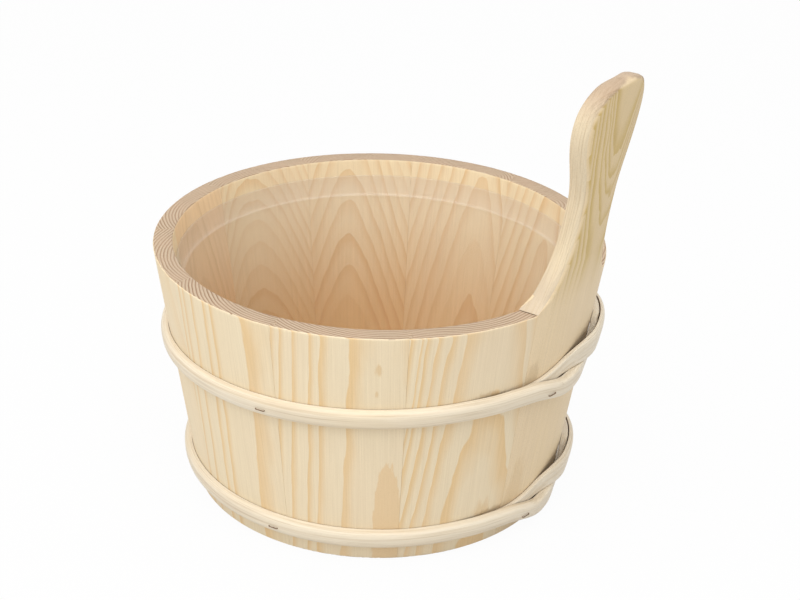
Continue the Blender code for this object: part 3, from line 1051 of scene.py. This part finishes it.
@dataclass
class HandleStave(Stave):
    """The stave that runs on above the rim as a paddle grip. Heights are above the rim."""

    top: float = 0.1205
    lean: float = 0.152
    shoulder_start: float = 0.0004
    neck_height: float = 0.0560
    neck_half_width: float = 0.0190
    head_height: float = 0.0980
    head_half_width: float = 0.0290
    shoulder_power: float = 2.8
    shoulder_row_power: float = 1.3
    head_power: float = 2.35
    head_last_turn: float = deg(86.0)
    edge_round: float = 0.0040
    edge_round_rise: float = 0.0080
    edge_round_of_wall: float = 0.45
    edge_round_of_width: float = 0.8
    edge_turns: tuple[float, ...] = (deg(36.0), deg(72.0))
    edge_limit: float = 0.6
    crown_share: float = 0.12
    rows: int = 40
    cuts: tuple[Cut, ...] = (Cut.FACE, Cut.END, Cut.EDGE)

    def outline(self) -> list[tuple[float, float]]:
        """Outline of the paddle, from the shoulder to the crown.

        Returns:
            Heights above the rim, each with its half width.
        """
        shoulder = self.shell.rim_radius * self.shell.pitch / 2.0 - self.shell.joint_gap / 2.0
        rows: list[tuple[float, float]] = []
        run = self.neck_height - self.shoulder_start
        for share in spread(0.0, 1.0, self.rows):
            height = self.shoulder_start + run * share**self.shoulder_row_power
            left = max(0.0, 1.0 - (height - self.shoulder_start) / run)
            wider = (shoulder - self.neck_half_width) * left**self.shoulder_power
            rows.append((height, self.neck_half_width + wider))
        for height in spread(self.neck_height, self.head_height, self.rows)[1:-1]:
            share = ease((height - self.neck_height) / (self.head_height - self.neck_height))
            wider = (self.head_half_width - self.neck_half_width) * share
            rows.append((height, self.neck_half_width + wider))
        for turn in spread(0.0, self.head_last_turn, self.rows):
            rise = math.sin(turn) ** (2.0 / self.head_power)
            width = math.cos(turn) ** (2.0 / self.head_power)
            height = self.head_height + (self.top - self.head_height) * rise
            rows.append((height, self.head_half_width * width))
        rows.append((self.top, self.head_half_width * self.crown_share))
        return rows

    def paddle_ring(self, height: float, half_width: float) -> Ring:
        """Section of the paddle, with rounded edges and as many points as a stave's section.

        Args:
            height: Height above the rim.
            half_width: Half the width of the paddle there.

        Returns:
            Points round the section.
        """
        z = self.shell.height + height
        below_top = self.top - height
        inset = 0.0
        if below_top < self.edge_round:
            inset = self.edge_round - math.sqrt(self.edge_round**2 - (self.edge_round - below_top) ** 2)
        outer = self.shell.rim_radius + self.lean * height - inset
        inner = self.shell.rim_radius + self.lean * height - self.shell.wall + inset
        corner = self.edge_round * ease(height / self.edge_round_rise)
        most = min(self.edge_round_of_wall * (outer - inner), self.edge_round_of_width * half_width)
        corner = max(min(corner, most), self.shell.joint_gap)
        flat = half_width - corner

        def point(radius: float, across: float) -> Vector:
            """Point of the section at a radius and a place across."""
            return polar(radius, self.azimuth + across / radius, z)

        def edge(sign: float) -> Ring:
            """Rounded edge on one side, in the order that the section runs.

            Args:
                sign: 1 on the far side and -1 on the near side.

            Returns:
                Points of the edge.
            """
            high, low = [], []
            for turn in self.edge_turns:
                across = sign * (flat + corner * math.sin(turn))
                high.append(point(outer - corner + corner * math.cos(turn), across))
                low.append(point(inner + corner - corner * math.cos(turn), across))
            return high + low[::-1] if sign > 0.0 else low + high[::-1]

        ring = [point(outer, across) for across in spread(-flat, flat, self.arc_steps + 1)]
        ring += edge(1.0)
        ring += [point(inner, across) for across in spread(flat, -flat, self.arc_steps + 1)]
        ring += edge(-1.0)
        return ring

    def rings(self) -> list[Ring]:
        """Sections from the foot to the crown."""
        rim = [self.ring(self.shell.height)]
        return self.wall_rings()[:-1] + rim + [self.paddle_ring(*row) for row in self.outline()]

    def cut(self, face: bmesh.types.BMFace) -> Cut:
        """Which way a face is cut: the foot goes across the grain, the sides of the paddle are sawn.

        Args:
            face: Face of the stave's mesh.

        Returns:
            The cut.
        """
        if face.normal.z < -self.end_limit:
            return Cut.END
        beside = abs(face.normal.dot(polar(1.0, self.azimuth + math.pi / 2.0, 0.0))) > self.edge_limit
        above = face.calc_center_median().z > self.shell.height
        return Cut.EDGE if beside and above else Cut.FACE


@dataclass
class BottomBoards:
    """The bottom: boards side by side along Y, held in the groove of the staves."""

    shell: Shell
    finishes: Sequence[PineFinish]
    clearance: float = 0.0002
    gap: float = 0.0002
    edge_round: float = 0.0006
    sharp_angle: float = deg(60.0)
    segments: int = 144

    def build(self) -> list[bpy.types.Object]:
        """Build and dress the boards.

        Returns:
            The new objects.
        """
        count = len(self.finishes)
        radius = self.shell.inner(self.shell.board_lift) + self.shell.croze_depth - self.clearance
        width = 2.0 * radius / count
        pieces = []
        for i, finish in enumerate(self.finishes):
            low, high = -radius + i * width + self.gap / 2.0, -radius + (i + 1) * width - self.gap / 2.0
            node = f"bottom_board_{i + 1}"
            bm = self.board(radius, low if i else None, high if i < count - 1 else None)
            materials = [finish.material(f"{node}_pine", 0.0, Cut.FACE)]
            pieces.append(add_piece(f"{node}_wood", bm, materials, BUCKET_BODY, Slot.PINE, [node]))
        return pieces

    def board(self, radius: float, low: Optional[float], high: Optional[float]) -> BMesh:
        """One board, cut from a disc.

        Args:
            radius: Radius of the disc.
            low: Place along X of the board's near edge, or None at the outside.
            high: Place along X of the board's far edge, or None at the outside.

        Returns:
            The board's bmesh.
        """
        bm = bmesh.new()
        bmesh.ops.create_circle(bm, cap_ends=True, radius=radius, segments=self.segments)
        for place, way in ((low, -1.0), (high, 1.0)):
            if place is not None:
                bmesh.ops.bisect_plane(
                    bm,
                    geom=bm.verts[:] + bm.edges[:] + bm.faces[:],
                    plane_co=(place, 0.0, 0.0),
                    plane_no=(way, 0.0, 0.0),
                    clear_outer=True,
                )
        grown = bmesh.ops.extrude_face_region(bm, geom=bm.faces[:])
        moved = [item for item in grown["geom"] if isinstance(item, bmesh.types.BMVert)]
        bmesh.ops.translate(bm, verts=moved, vec=(0.0, 0.0, self.shell.board_thickness))
        bmesh.ops.translate(bm, verts=bm.verts, vec=(0.0, 0.0, self.shell.board_lift))
        bmesh.ops.recalc_face_normals(bm, faces=bm.faces)
        sharp = [edge for edge in bm.edges if edge.calc_face_angle(0.0) > self.sharp_angle]
        bmesh.ops.bevel(
            bm, geom=sharp, offset=self.edge_round, affect="EDGES", segments=2, profile=0.5, material=-1
        )
        return bm


@dataclass
class Liner:
    """The clear tub that stands on the bottom boards."""

    shell: Shell
    finish: ClearPlasticFinish
    top: float = 0.1340
    band: float = 0.0110
    step: float = 0.0015
    wall: float = 0.0012
    side_gap: float = 0.0003
    floor_gap: float = 0.0003
    corner: float = 0.0080
    corner_steps: int = 10
    step_rows: int = 6
    lip_rows: int = 7
    lip_share: float = 0.75
    step_shares: tuple[float, float] = (0.25, 0.75)
    segments: int = 160
    pole_weld: float = 1e-6

    def side(self, z: float) -> float:
        """Radius of the tub's outside at a height."""
        under_band = ease((self.top - self.band - z) / self.step)
        return self.shell.inner(z) - self.side_gap - self.step * under_band

    def profile(self) -> list[Vector]:
        """Half section from the middle of the underside, round the edge, to the middle of the floor.

        Returns:
            Points of the section.
        """
        base = self.shell.board_top + self.floor_gap
        band_low = self.top - self.band
        centre = Vector((self.side(base + self.corner) - self.corner, 0.0, base + self.corner))

        def bend(radius: float) -> list[Vector]:
            """Rounded foot at a radius from the corner's centre."""
            turns = spread(-math.pi / 2.0, 0.0, self.corner_steps + 1)
            return [centre + Vector((radius * math.cos(t), 0.0, radius * math.sin(t))) for t in turns]

        levels = spread(band_low - self.step, band_low, self.step_rows) + [self.top - self.wall / 2.0]
        outside = [Vector((self.side(z), 0.0, z)) for z in levels]
        inside = [point - Vector((self.wall, 0.0, 0.0)) for point in outside]
        edge_middle = (outside[-1] + inside[-1]) / 2.0
        edge = [
            edge_middle + Vector((self.wall / 2.0 * math.cos(t), 0.0, self.wall / 2.0 * math.sin(t)))
            for t in spread(0.0, math.pi, self.lip_rows)[1:-1]
        ]
        under = [Vector((0.0, 0.0, base))] + bend(self.corner) + outside
        over = [Vector((0.0, 0.0, base + self.wall))] + bend(self.corner - self.wall) + inside
        return under + edge + over[::-1]

    def build(self) -> bpy.types.Object:
        """Turn the tub about the bucket's axis and dress it.

        Returns:
            The new object.
        """
        bm = bmesh.new()
        verts = [bm.verts.new(point) for point in self.profile()]
        edges = [bm.edges.new(pair) for pair in zip(verts, verts[1:])]
        bmesh.ops.spin(
            bm,
            geom=verts + edges,
            cent=(0.0, 0.0, 0.0),
            axis=(0.0, 0.0, 1.0),
            angle=FULL_TURN,
            steps=self.segments,
            use_merge=True,
        )
        bmesh.ops.remove_doubles(bm, verts=bm.verts, dist=self.pole_weld)
        bmesh.ops.recalc_face_normals(bm, faces=bm.faces)
        films = list(Film)
        for face in bm.faces:
            face.material_index = films.index(self.film(face.calc_center_median().z))
        materials = [self.finish.material(f"liner_{film.name.lower()}", film) for film in Film]
        return add_piece("liner_tub", bm, materials, LINER_BODY, Slot.CLEAR_PLASTIC, ["liner"])

    def film(self, z: float) -> Film:
        """Part of the liner at a height.

        Args:
            z: The height.

        Returns:
            Lip or step, the band between them, or the wall.
        """
        band_low = self.top - self.band
        high, low = (band_low - share * self.step for share in self.step_shares)
        if z > self.top - self.lip_share * self.wall or low < z < high:
            return Film.EDGE
        return Film.BAND if z > band_low else Film.WALL


@dataclass
class HoopCourse:
    """Path of one hoop strip, measured as a turn from where its ends cross.

    The strip starts with a tail behind its own far end, dips below that end, stands off over the other
    tail, goes once round, rises over its beginning and ends with a tail behind it.
    """

    shell: Shell
    level: float
    tilt: float
    dip: float
    rise: float
    height_full: float = 0.0108
    thickness_full: float = 0.0049
    first_tail_thickness: float = 0.0040
    lap_thickness: float = 0.0033
    tail_thickness: float = 0.0024
    tail_height: float = 0.0084
    seat: float = 0.0002
    tail_gap: float = 0.0002
    power: float = 2.9
    lap_back: float = deg(60.0)
    lap_front: float = deg(20.0)
    lap_thin_start: float = deg(-78.0)
    lap_thin_run: float = deg(24.0)
    back_ease: float = deg(20.0)
    front_ease: float = deg(12.0)
    run_out: float = deg(14.0)
    run_out_share: float = 0.75
    swap_centre: float = deg(-9.0)
    swap_half: float = deg(9.0)
    first_pare: float = deg(-5.0)
    first_pare_run: float = deg(15.0)
    last_pare: float = deg(-14.0)
    last_pare_run: float = deg(14.0)
    dip_start: float = deg(12.0)
    dip_run: float = deg(15.0)
    dip_hold: float = deg(16.0)
    dip_return: float = deg(11.0)
    rise_end: float = deg(13.0)
    rise_run: float = deg(26.0)
    rise_hold: float = deg(20.0)
    rise_return: float = deg(50.0)
    cross_lead: float = deg(3.0)

    def azimuth(self, turn: float) -> float:
        """Azimuth of the strip."""
        return self.shell.handle_azimuth - self.cross_lead - turn

    def climb(self, turn: float) -> float:
        """Rise of the strip's far end where it goes over the beginning.

        Args:
            turn: Turn along the strip.

        Returns:
            The rise.
        """
        over = ease((self.rise_end - turn) / self.rise_run)
        back = ease((-turn - self.rise_hold) / self.rise_return)
        return self.rise * over * (1.0 - back)

    def height(self, turn: float) -> float:
        """Height of the middle of the strip's back.

        Args:
            turn: Turn along the strip.

        Returns:
            The height.
        """
        level = self.level + self.tilt * math.cos(turn)
        if turn < math.pi:
            down = ease((self.dip_start - turn) / self.dip_run)
            back = ease((-turn - self.dip_hold) / self.dip_return)
            cover = self.half_height(turn + FULL_TURN) - self.half_height(turn)
            return level - self.dip * down * (1.0 - back) + (self.climb(turn) + cover) * back
        return level + self.climb(turn - FULL_TURN)

    def paring(self, turn: float) -> float:
        """Share of the way from the full strip to its pared tails.

        Args:
            turn: Turn along the strip.

        Returns:
            The share.
        """
        if turn < math.pi:
            return ease((self.first_pare - turn) / self.first_pare_run)
        return ease((turn - FULL_TURN - self.last_pare) / self.last_pare_run)

    def thickness(self, turn: float) -> float:
        """Thickness of the strip, which thins toward its last tail and there runs out to an edge.

        Args:
            turn: Turn along the strip.

        Returns:
            The thickness.
        """
        pared = self.paring(turn)
        if turn < math.pi:
            return self.thickness_full + (self.first_tail_thickness - self.thickness_full) * pared
        beyond = turn - FULL_TURN
        thinned = ease((beyond - self.lap_thin_start) / self.lap_thin_run)
        lap = self.thickness_full + (self.lap_thickness - self.thickness_full) * thinned
        tail = lap + (self.tail_thickness - lap) * pared
        ran_out = ease((beyond - self.lap_front + self.run_out) / self.run_out)
        return tail * (1.0 - self.run_out_share * ran_out)

    def half_height(self, turn: float) -> float:
        """Half the height of the strip."""
        return (self.height_full + (self.tail_height - self.height_full) * self.paring(turn)) / 2.0

    def off_wall(self, turn: float) -> float:
        """Distance of the strip's back from the staves: over a tail, that tail's thickness.

        Args:
            turn: Turn along the strip.

        Returns:
            The distance.
        """
        if turn < math.pi:
            beyond, lap = turn - self.swap_centre, self.lap_front - self.swap_centre
            back = ease((beyond - lap) / self.front_ease)
            tail = turn + FULL_TURN
        else:
            tail = turn - FULL_TURN
            beyond, lap = self.swap_centre - tail, self.lap_back + self.swap_centre
            back = ease((beyond - lap) / self.back_ease)
        over = ease((beyond + self.swap_half) / (2.0 * self.swap_half))
        step = self.thickness(tail) + self.tail_gap
        return self.seat + step * over * (1.0 - back)

    def axes(self, turn: float) -> tuple[Vector, Vector, Vector, Vector]:
        """Place and directions of the strip.

        Args:
            turn: Turn along the strip.

        Returns:
            Point on the strip's back, with the directions outward, up and along.
        """
        azimuth = self.azimuth(turn)
        z = self.height(turn)
        lean = self.shell.flare_angle
        radial = polar(1.0, azimuth, 0.0)
        outward = radial * math.cos(lean) - Vector((0.0, 0.0, math.sin(lean)))
        up = radial * math.sin(lean) + Vector((0.0, 0.0, math.cos(lean)))
        along = polar(1.0, azimuth - math.pi / 2.0, 0.0)
        back = polar(self.shell.outer(z), azimuth, z) + outward * self.off_wall(turn)
        return back, outward, up, along

    def face(self, turn: float, rise: float) -> float:
        """Height of the rounded face above the back, at a rise from the middle."""
        share = min(abs(rise) / self.half_height(turn), 1.0)
        return self.thickness(turn) * (1.0 - share**self.power) ** (1.0 / self.power)


@dataclass
class HoopStrip:
    """One hoop: a split strip wound once round, with its ends tucked behind each other."""

    course: HoopCourse
    node: str
    finish: CaneFinish
    seed: float
    face_steps: int = 26
    back_steps: int = 6
    step: float = deg(1.5)
    swell: float = 0.00018
    ridge: float = 0.00007
    swell_scales: tuple[float, float] = (2.2, 90.0)
    ridge_scales: tuple[float, float] = (1.1, 1500.0)
    ridge_seed: float = 7.0
    square_power: float = 9.0
    square_from: float = 0.7
    square_run: float = 0.25

    def section(self, turn: float) -> list[tuple[float, float]]:
        """Section of the strip at a turn, face first and then the back.

        Args:
            turn: Turn along the strip.

        Returns:
            Rises from the strip's middle, each with its depth from the back.
        """
        spare, square = self.meeting(turn)
        half, thickness = self.course.half_height(turn), self.course.thickness(turn)
        first = turn < math.pi
        below, above = (half, half + spare) if first else (half + spare, half)
        points = []
        for t in spread(-math.pi / 2.0, math.pi / 2.0, self.face_steps + 1):
            rise = math.sin(t) * (above if t > 0.0 else below)
            depth = self.course.face(turn, half * math.sin(t))
            full = thickness * (1.0 - abs(math.sin(t)) ** self.square_power) ** (1.0 / self.square_power)
            facing = square if (t > 0.0) is first else 0.0
            depth += max(facing, self.course.paring(turn)) * (full - depth)
            swells = self.rough(turn, rise, self.swell_scales, self.seed)
            ridges = self.rough(turn, rise, self.ridge_scales, self.seed + self.ridge_seed)
            loss = self.swell * (1.0 + swells) + self.ridge * (1.0 + ridges)
            points.append((rise, max(0.0, depth - depth / self.course.thickness_full * loss)))
        points += [(rise, 0.0) for rise in spread(above, -below, self.back_steps + 1)[1:-1]]
        return points

    def rough(self, turn: float, rise: float, scales: tuple[float, float], seed: float) -> float:
        """Noise on the strip's face, scaled along the strip and across it."""
        return noise.noise(Vector((turn * scales[0], rise * scales[1], seed)))

    def meeting(self, turn: float) -> tuple[float, float]:
        """How the strip meets its own other end at the crossing.

        Args:
            turn: Turn along the strip.

        Returns:
            How far its edge reaches over to the other edge, and how squarely the two edges meet, 0 to 1.
        """
        course = self.course
        other = turn + FULL_TURN if turn < math.pi else turn - FULL_TURN
        if not -course.lap_back < other < FULL_TURN + course.lap_front:
            return 0.0, 0.0
        apart = abs(course.height(other) - course.height(turn))
        together = course.half_height(turn) + course.half_height(other)
        square = ease((apart / together - self.square_from) / self.square_run)
        return max(0.0, apart - together) / 2.0, square

    def build(self) -> bpy.types.Object:
        """Build and dress the strip.

        Returns:
            The new object.
        """
        start, end = -self.course.lap_back, FULL_TURN + self.course.lap_front
        turns = spread(start, end, math.ceil((end - start) / self.step) + 1)
        sections = [self.section(turn) for turn in turns]
        rings = []
        for turn, section in zip(turns, sections):
            back, outward, up, _ = self.course.axes(turn)
            rings.append([back + up * rise + outward * depth for rise, depth in section])
        bm = sweep(rings)
        layer = bm.verts.layers.float_vector.new(self.finish.strand)
        self.mark_strand(bm, layer, turns, sections, rings)
        materials = [self.finish.material(f"{self.node}_cane")]
        return add_piece(f"{self.node}_strip", bm, materials, BUCKET_BODY, Slot.CANE, [self.node])

    def mark_strand(
        self,
        bm: BMesh,
        layer: Any,
        turns: Sequence[float],
        sections: Sequence[Sequence[tuple[float, float]]],
        rings: Sequence[Ring],
    ) -> None:
        """Write the place along, across and into the strip on every point of its mesh.

        Args:
            bm: Mesh of the strip.
            layer: Layer of the points that takes the places.
            turns: Turns of the sections.
            sections: Rises and depths of the sections.
            rings: Points of the sections.
        """
        places = {}
        for turn, section, ring in zip(turns, sections, rings):
            length = turn * self.course.shell.outer(self.course.level)
            for (rise, depth), point in zip(section, ring):
                places[tuple(round(part, 6) for part in point)] = Vector((length, rise, depth))
        for vert in bm.verts:
            vert[layer] = places[tuple(round(part, 6) for part in vert.co)]


@dataclass
class Staple:
    """One wire staple, driven through a hoop into a stave."""

    course: HoopCourse
    node: str
    place: float
    finish: WireFinish
    crown: float = 0.0058
    wire: float = 0.00055
    drop: float = 0.0006
    bite: float = 0.0040
    seat: float = 0.0001
    bend: float = 0.0005
    bend_steps: int = 5
    sides: int = 10

    @property
    def turn(self) -> float:
        """Turn along the hoop that the staple sits at."""
        return self.place * self.course.shell.pitch - self.course.cross_lead

    def path(self) -> list[tuple[float, float]]:
        """Middle line of the wire.

        Returns:
            Places along the strip, each with its place outward.
        """
        level = self.course.face(self.turn, self.drop - self.wire / 2.0) + self.seat + self.wire / 2.0
        low = -self.course.off_wall(self.turn) - self.bite
        reach = (self.crown - self.wire) / 2.0
        arc = [
            (reach - self.bend * (1.0 - math.cos(t)), level - self.bend * (1.0 - math.sin(t)))
            for t in spread(0.0, math.pi / 2.0, self.bend_steps)
        ]
        right = [(reach, low + self.wire), (reach, level - 2.0 * self.bend)] + arc
        left = [(-x, y) for x, y in reversed(right)]
        return [(reach, low)] + right + left + [(-reach, low)]

    def build(self) -> bpy.types.Object:
        """Build and dress the staple.

        Returns:
            The new object.
        """
        back, outward, up, along = self.course.axes(self.turn)
        origin = back - up * self.drop
        path = self.path()
        rings = []
        for i, (x, y) in enumerate(path):
            before, after = path[max(i - 1, 0)], path[min(i + 1, len(path) - 1)]
            run = Vector((after[0] - before[0], after[1] - before[1])).normalized()
            across = along * -run.y + outward * run.x
            middle = origin + along * x + outward * y
            ring = []
            for k in range(self.sides):
                t = FULL_TURN * k / self.sides
                ring.append(middle + (across * math.cos(t) + up * math.sin(t)) * self.wire / 2.0)
            rings.append(ring)
        bm = sweep(rings)
        name = f"{self.node}_wire"
        return add_piece(name, bm, [self.finish.material(name)], BUCKET_BODY, Slot.STEEL_WIRE, [self.node])


@dataclass(frozen=True)
class Lamp:
    """Square area lamp that looks at the bucket."""

    name: str
    azimuth: float
    rise: float
    distance: float
    size: float
    power: float

    def build(self, aim: Vector) -> None:
        """Hang the lamp, turned to an aim.

        Args:
            aim: Point that the lamp looks at.
        """
        data = bpy.data.lights.new(self.name, "AREA")
        data.size = self.size
        data.energy = self.power
        lamp = bpy.data.objects.new(self.name, data)
        away = polar(math.cos(self.rise), self.azimuth, math.sin(self.rise))
        lamp.location = aim + away * self.distance
        lamp.rotation_euler = away.to_track_quat("Z", "Y").to_euler()
        bpy.context.scene.collection.objects.link(lamp)


@dataclass
class Studio:
    """Camera, lamps, floor and backdrop."""

    azimuth: float = deg(-12.0)
    elevation: float = deg(26.301)
    roll: float = deg(1.656)
    station: Vector = field(default_factory=lambda: Vector((0.011974, -0.829404, 0.513548)))
    sensor: float = 36.0
    lens_of_sensor: float = 2.045
    clip_start: float = 0.01
    aim: Vector = field(default_factory=lambda: Vector((0.0, 0.0, 0.09)))
    lamps: tuple[Lamp, ...] = (
        Lamp("key", deg(-150.0), deg(45.0), 1.5, 1.1, 7.2),
        Lamp("fill", deg(-98.0), deg(60.0), 1.8, 1.4, 11.9),
        Lamp("top", deg(-100.0), deg(84.0), 1.5, 1.0, 5.0),
    )
    sky: float = 0.785
    floor_radius: float = 6.0
    floor_segments: int = 64
    floor_tone: Colour = grey(0.62)
    floor_glow: float = 0.96

    def build(self) -> None:
        """Set up the whole studio."""
        bpy.context.scene.view_settings.view_transform = "Standard"
        self.camera()
        for lamp in self.lamps:
            lamp.build(self.aim)
        self.world()
        self.floor()

    def camera(self) -> None:
        """Camera at the photograph's place."""
        forward = Vector((0.0, math.cos(self.elevation), -math.sin(self.elevation)))
        level_up = Vector((0.0, math.sin(self.elevation), math.cos(self.elevation)))
        side = Vector((1.0, 0.0, 0.0))
        right = side * math.cos(self.roll) + level_up * math.sin(self.roll)
        up = level_up * math.cos(self.roll) - side * math.sin(self.roll)
        pose = Matrix((right, up, -forward)).transposed().to_4x4()
        pose.translation = self.station
        data = bpy.data.cameras.new("camera")
        data.lens = self.sensor * self.lens_of_sensor
        data.sensor_width = self.sensor
        data.clip_start = self.clip_start
        camera = bpy.data.objects.new("camera", data)
        camera.matrix_world = Matrix.Rotation(self.azimuth, 4, "Z") @ pose
        bpy.context.scene.collection.objects.link(camera)
        bpy.context.scene.camera = camera

    def world(self) -> None:
        """Even sky that lights softly and shows white."""
        world = bpy.data.worlds.new("studio")
        bpy.context.scene.world = world
        board = NodeBoard(world)
        levels = {"Value": board.seen(), "To Min": self.sky, "To Max": 1.0}
        strength = board.node("MapRange", levels).outputs["Result"]
        back = board.node("Background", {"Color": WHITE, "Strength": strength})
        board.close(back.outputs["Background"], "OutputWorld")

    def floor(self) -> None:
        """Pale round floor that shows white and keeps the bucket's shadow."""
        board = NodeBoard(bpy.data.materials.new("studio_floor"))
        plain = board.node("BsdfDiffuse", {"Color": self.floor_tone}).outputs["BSDF"]
        glow = board.node("Emission").outputs["Emission"]
        material = board.close(board.mixed(board.times(board.seen(), self.floor_glow), plain, glow))
        bm = bmesh.new()
        bmesh.ops.create_circle(bm, cap_ends=True, radius=self.floor_radius, segments=self.floor_segments)
        mesh = bpy.data.meshes.new("floor")
        bm.to_mesh(mesh)
        bm.free()
        mesh.materials.append(material)
        floor = bpy.data.objects.new("floor", mesh)
        bpy.context.scene.collection.objects.link(floor)


INSIDE_EARLY = rgb(0.842, 0.703, 0.478)
INSIDE_LATE = rgb(0.750, 0.535, 0.300)
WARM_EARLY = rgb(0.872, 0.648, 0.405)
INSIDE_PINE = PineFinish(contrast=0.8, painted_inner_shade=1.0, early=INSIDE_EARLY, late=INSIDE_LATE)
WIDE_PINE = replace(INSIDE_PINE, spacing=0.0060, sway=0.6)

STAVE_FINISHES = (
    PineFinish(
        pith_out=0.0532, pith_across=0.0033, taper=-0.050, taper_from=0.1835, spacing=0.0006, seed=3.1,
        sway=2.4, waver=1.1, contrast=0.72, calm_below=0.175, speckle=0.12,
        early=rgb(0.845, 0.672, 0.435), late=rgb(0.580, 0.398, 0.092),
        years=(-0.0047, -0.0101, -0.0145, -0.0195, -0.0250),
        inner_years=(0.0034, 0.00204, 0.00154, 0.00115, 0.00047),
        crown=Spot(0.0, 0.2416, 0.0290, 0.0225),
        flecks=(Spot(-0.0225, 0.0280, 0.0080, 0.0265, 0.45),),
        stains=(Spot(-0.0288, 0.1050, 0.0070, 0.0100, 0.26),),
    ),
    PineFinish(
        pith_across=0.0063, taper=0.0215, seed=7.7,
        years=(-0.0345, -0.0320, -0.0270, -0.0214, -0.0150, -0.0029),
        flecks=(Spot(0.0169, 0.0220, 0.0065, 0.0110, 0.6),),
        stains=(Spot(0.0109, 0.1005, 0.0100, 0.0050, 0.45), Spot(0.0242, 0.0200, 0.0130, 0.0040, 0.40)),
    ),
    PineFinish(
        pith_across=0.0129, taper=0.010, seed=11.3, sway=0.15,
        years=(-0.0330, -0.0258, -0.0173, -0.0118, 0.0016),
        tongues=(Spot(0.0245, 0.0, 0.0085, 0.066, 0.85),),
        flecks=(Spot(0.0206, 0.125, 0.0023, 0.0052, 0.75), Spot(0.0195, 0.110, 0.0011, 0.0028, 0.7)),
    ),
    PineFinish(
        pith_across=0.0178, slant=-0.010, taper=0.002, seed=17.9, early=rgb(0.825, 0.700, 0.492),
        years=(-0.0290, -0.0209, -0.0104, -0.0040, 0.0164),
    ),
    PineFinish(
        pith_across=0.010, spacing=0.0022, taper=0.010, seed=23.3,
        contrast=0.6, painted_inner_shade=1.0, early=INSIDE_EARLY,
    ),
    replace(
        INSIDE_PINE, pith_out=0.0600, spacing=0.0016, taper=0.050, seed=29.1,
        contrast=0.7, early=WARM_EARLY,
    ),
    replace(INSIDE_PINE, pith_out=0.0526, pith_across=0.0050, taper=0.140, seed=31.7),
    replace(WIDE_PINE, pith_out=0.0836, pith_across=0.0067, taper=0.286, phase=0.143, seed=37.3),
    replace(WIDE_PINE, pith_out=0.0809, pith_across=-0.0120, taper=0.158, phase=0.064, seed=41.9, painted_inner_shade=0.8),
    replace(WIDE_PINE, pith_out=0.0806, pith_across=-0.0060, taper=0.150, phase=0.66, seed=43.1, painted_inner_shade=0.8),
    PineFinish(spacing=0.0022, taper=0.020, seed=47.7, painted_inner_shade=1.0),
)
BOARD_FINISHES = tuple(
    PineFinish(pith_out=0.010 * i, spacing=0.0024, taper=0.01, seed=53.0 + 6.1 * i, lean=deg(90.0))
    for i in range(3)
)
STAPLE_PLACES = (0.28, 2.60, 5.00, 7.20)
CANE_SEED_STEP = 3.0
STRIP_SEED_STEP = 5.0


def main() -> None:
    """Build every piece and the studio."""
    logging.basicConfig(level=logging.INFO, format="%(name)s %(message)s")
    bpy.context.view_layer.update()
    Studio().build()
    HandleStave(SHELL, "handle_stave", 0, STAVE_FINISHES[0]).build()
    for i in range(1, SHELL.stave_count):
        Stave(SHELL, f"stave_{i:02d}", i, STAVE_FINISHES[i]).build()
    BottomBoards(SHELL, BOARD_FINISHES).build()
    Liner(SHELL, ClearPlasticFinish()).build()
    courses = {
        "upper": HoopCourse(SHELL, level=0.0934, tilt=0.0033, dip=0.0062, rise=0.0089),
        "lower": HoopCourse(SHELL, level=0.0157, tilt=0.0, dip=0.0062, rise=0.0085),
    }
    for k, (label, course) in enumerate(courses.items()):
        HoopStrip(course, f"{label}_hoop", CaneFinish(seed=CANE_SEED_STEP * k), STRIP_SEED_STEP * k).build()
        for i, place in enumerate(STAPLE_PLACES):
            Staple(course, f"{label}_staple_{i + 1}", place, WireFinish()).build()


if __name__ == "__main__":
    main()
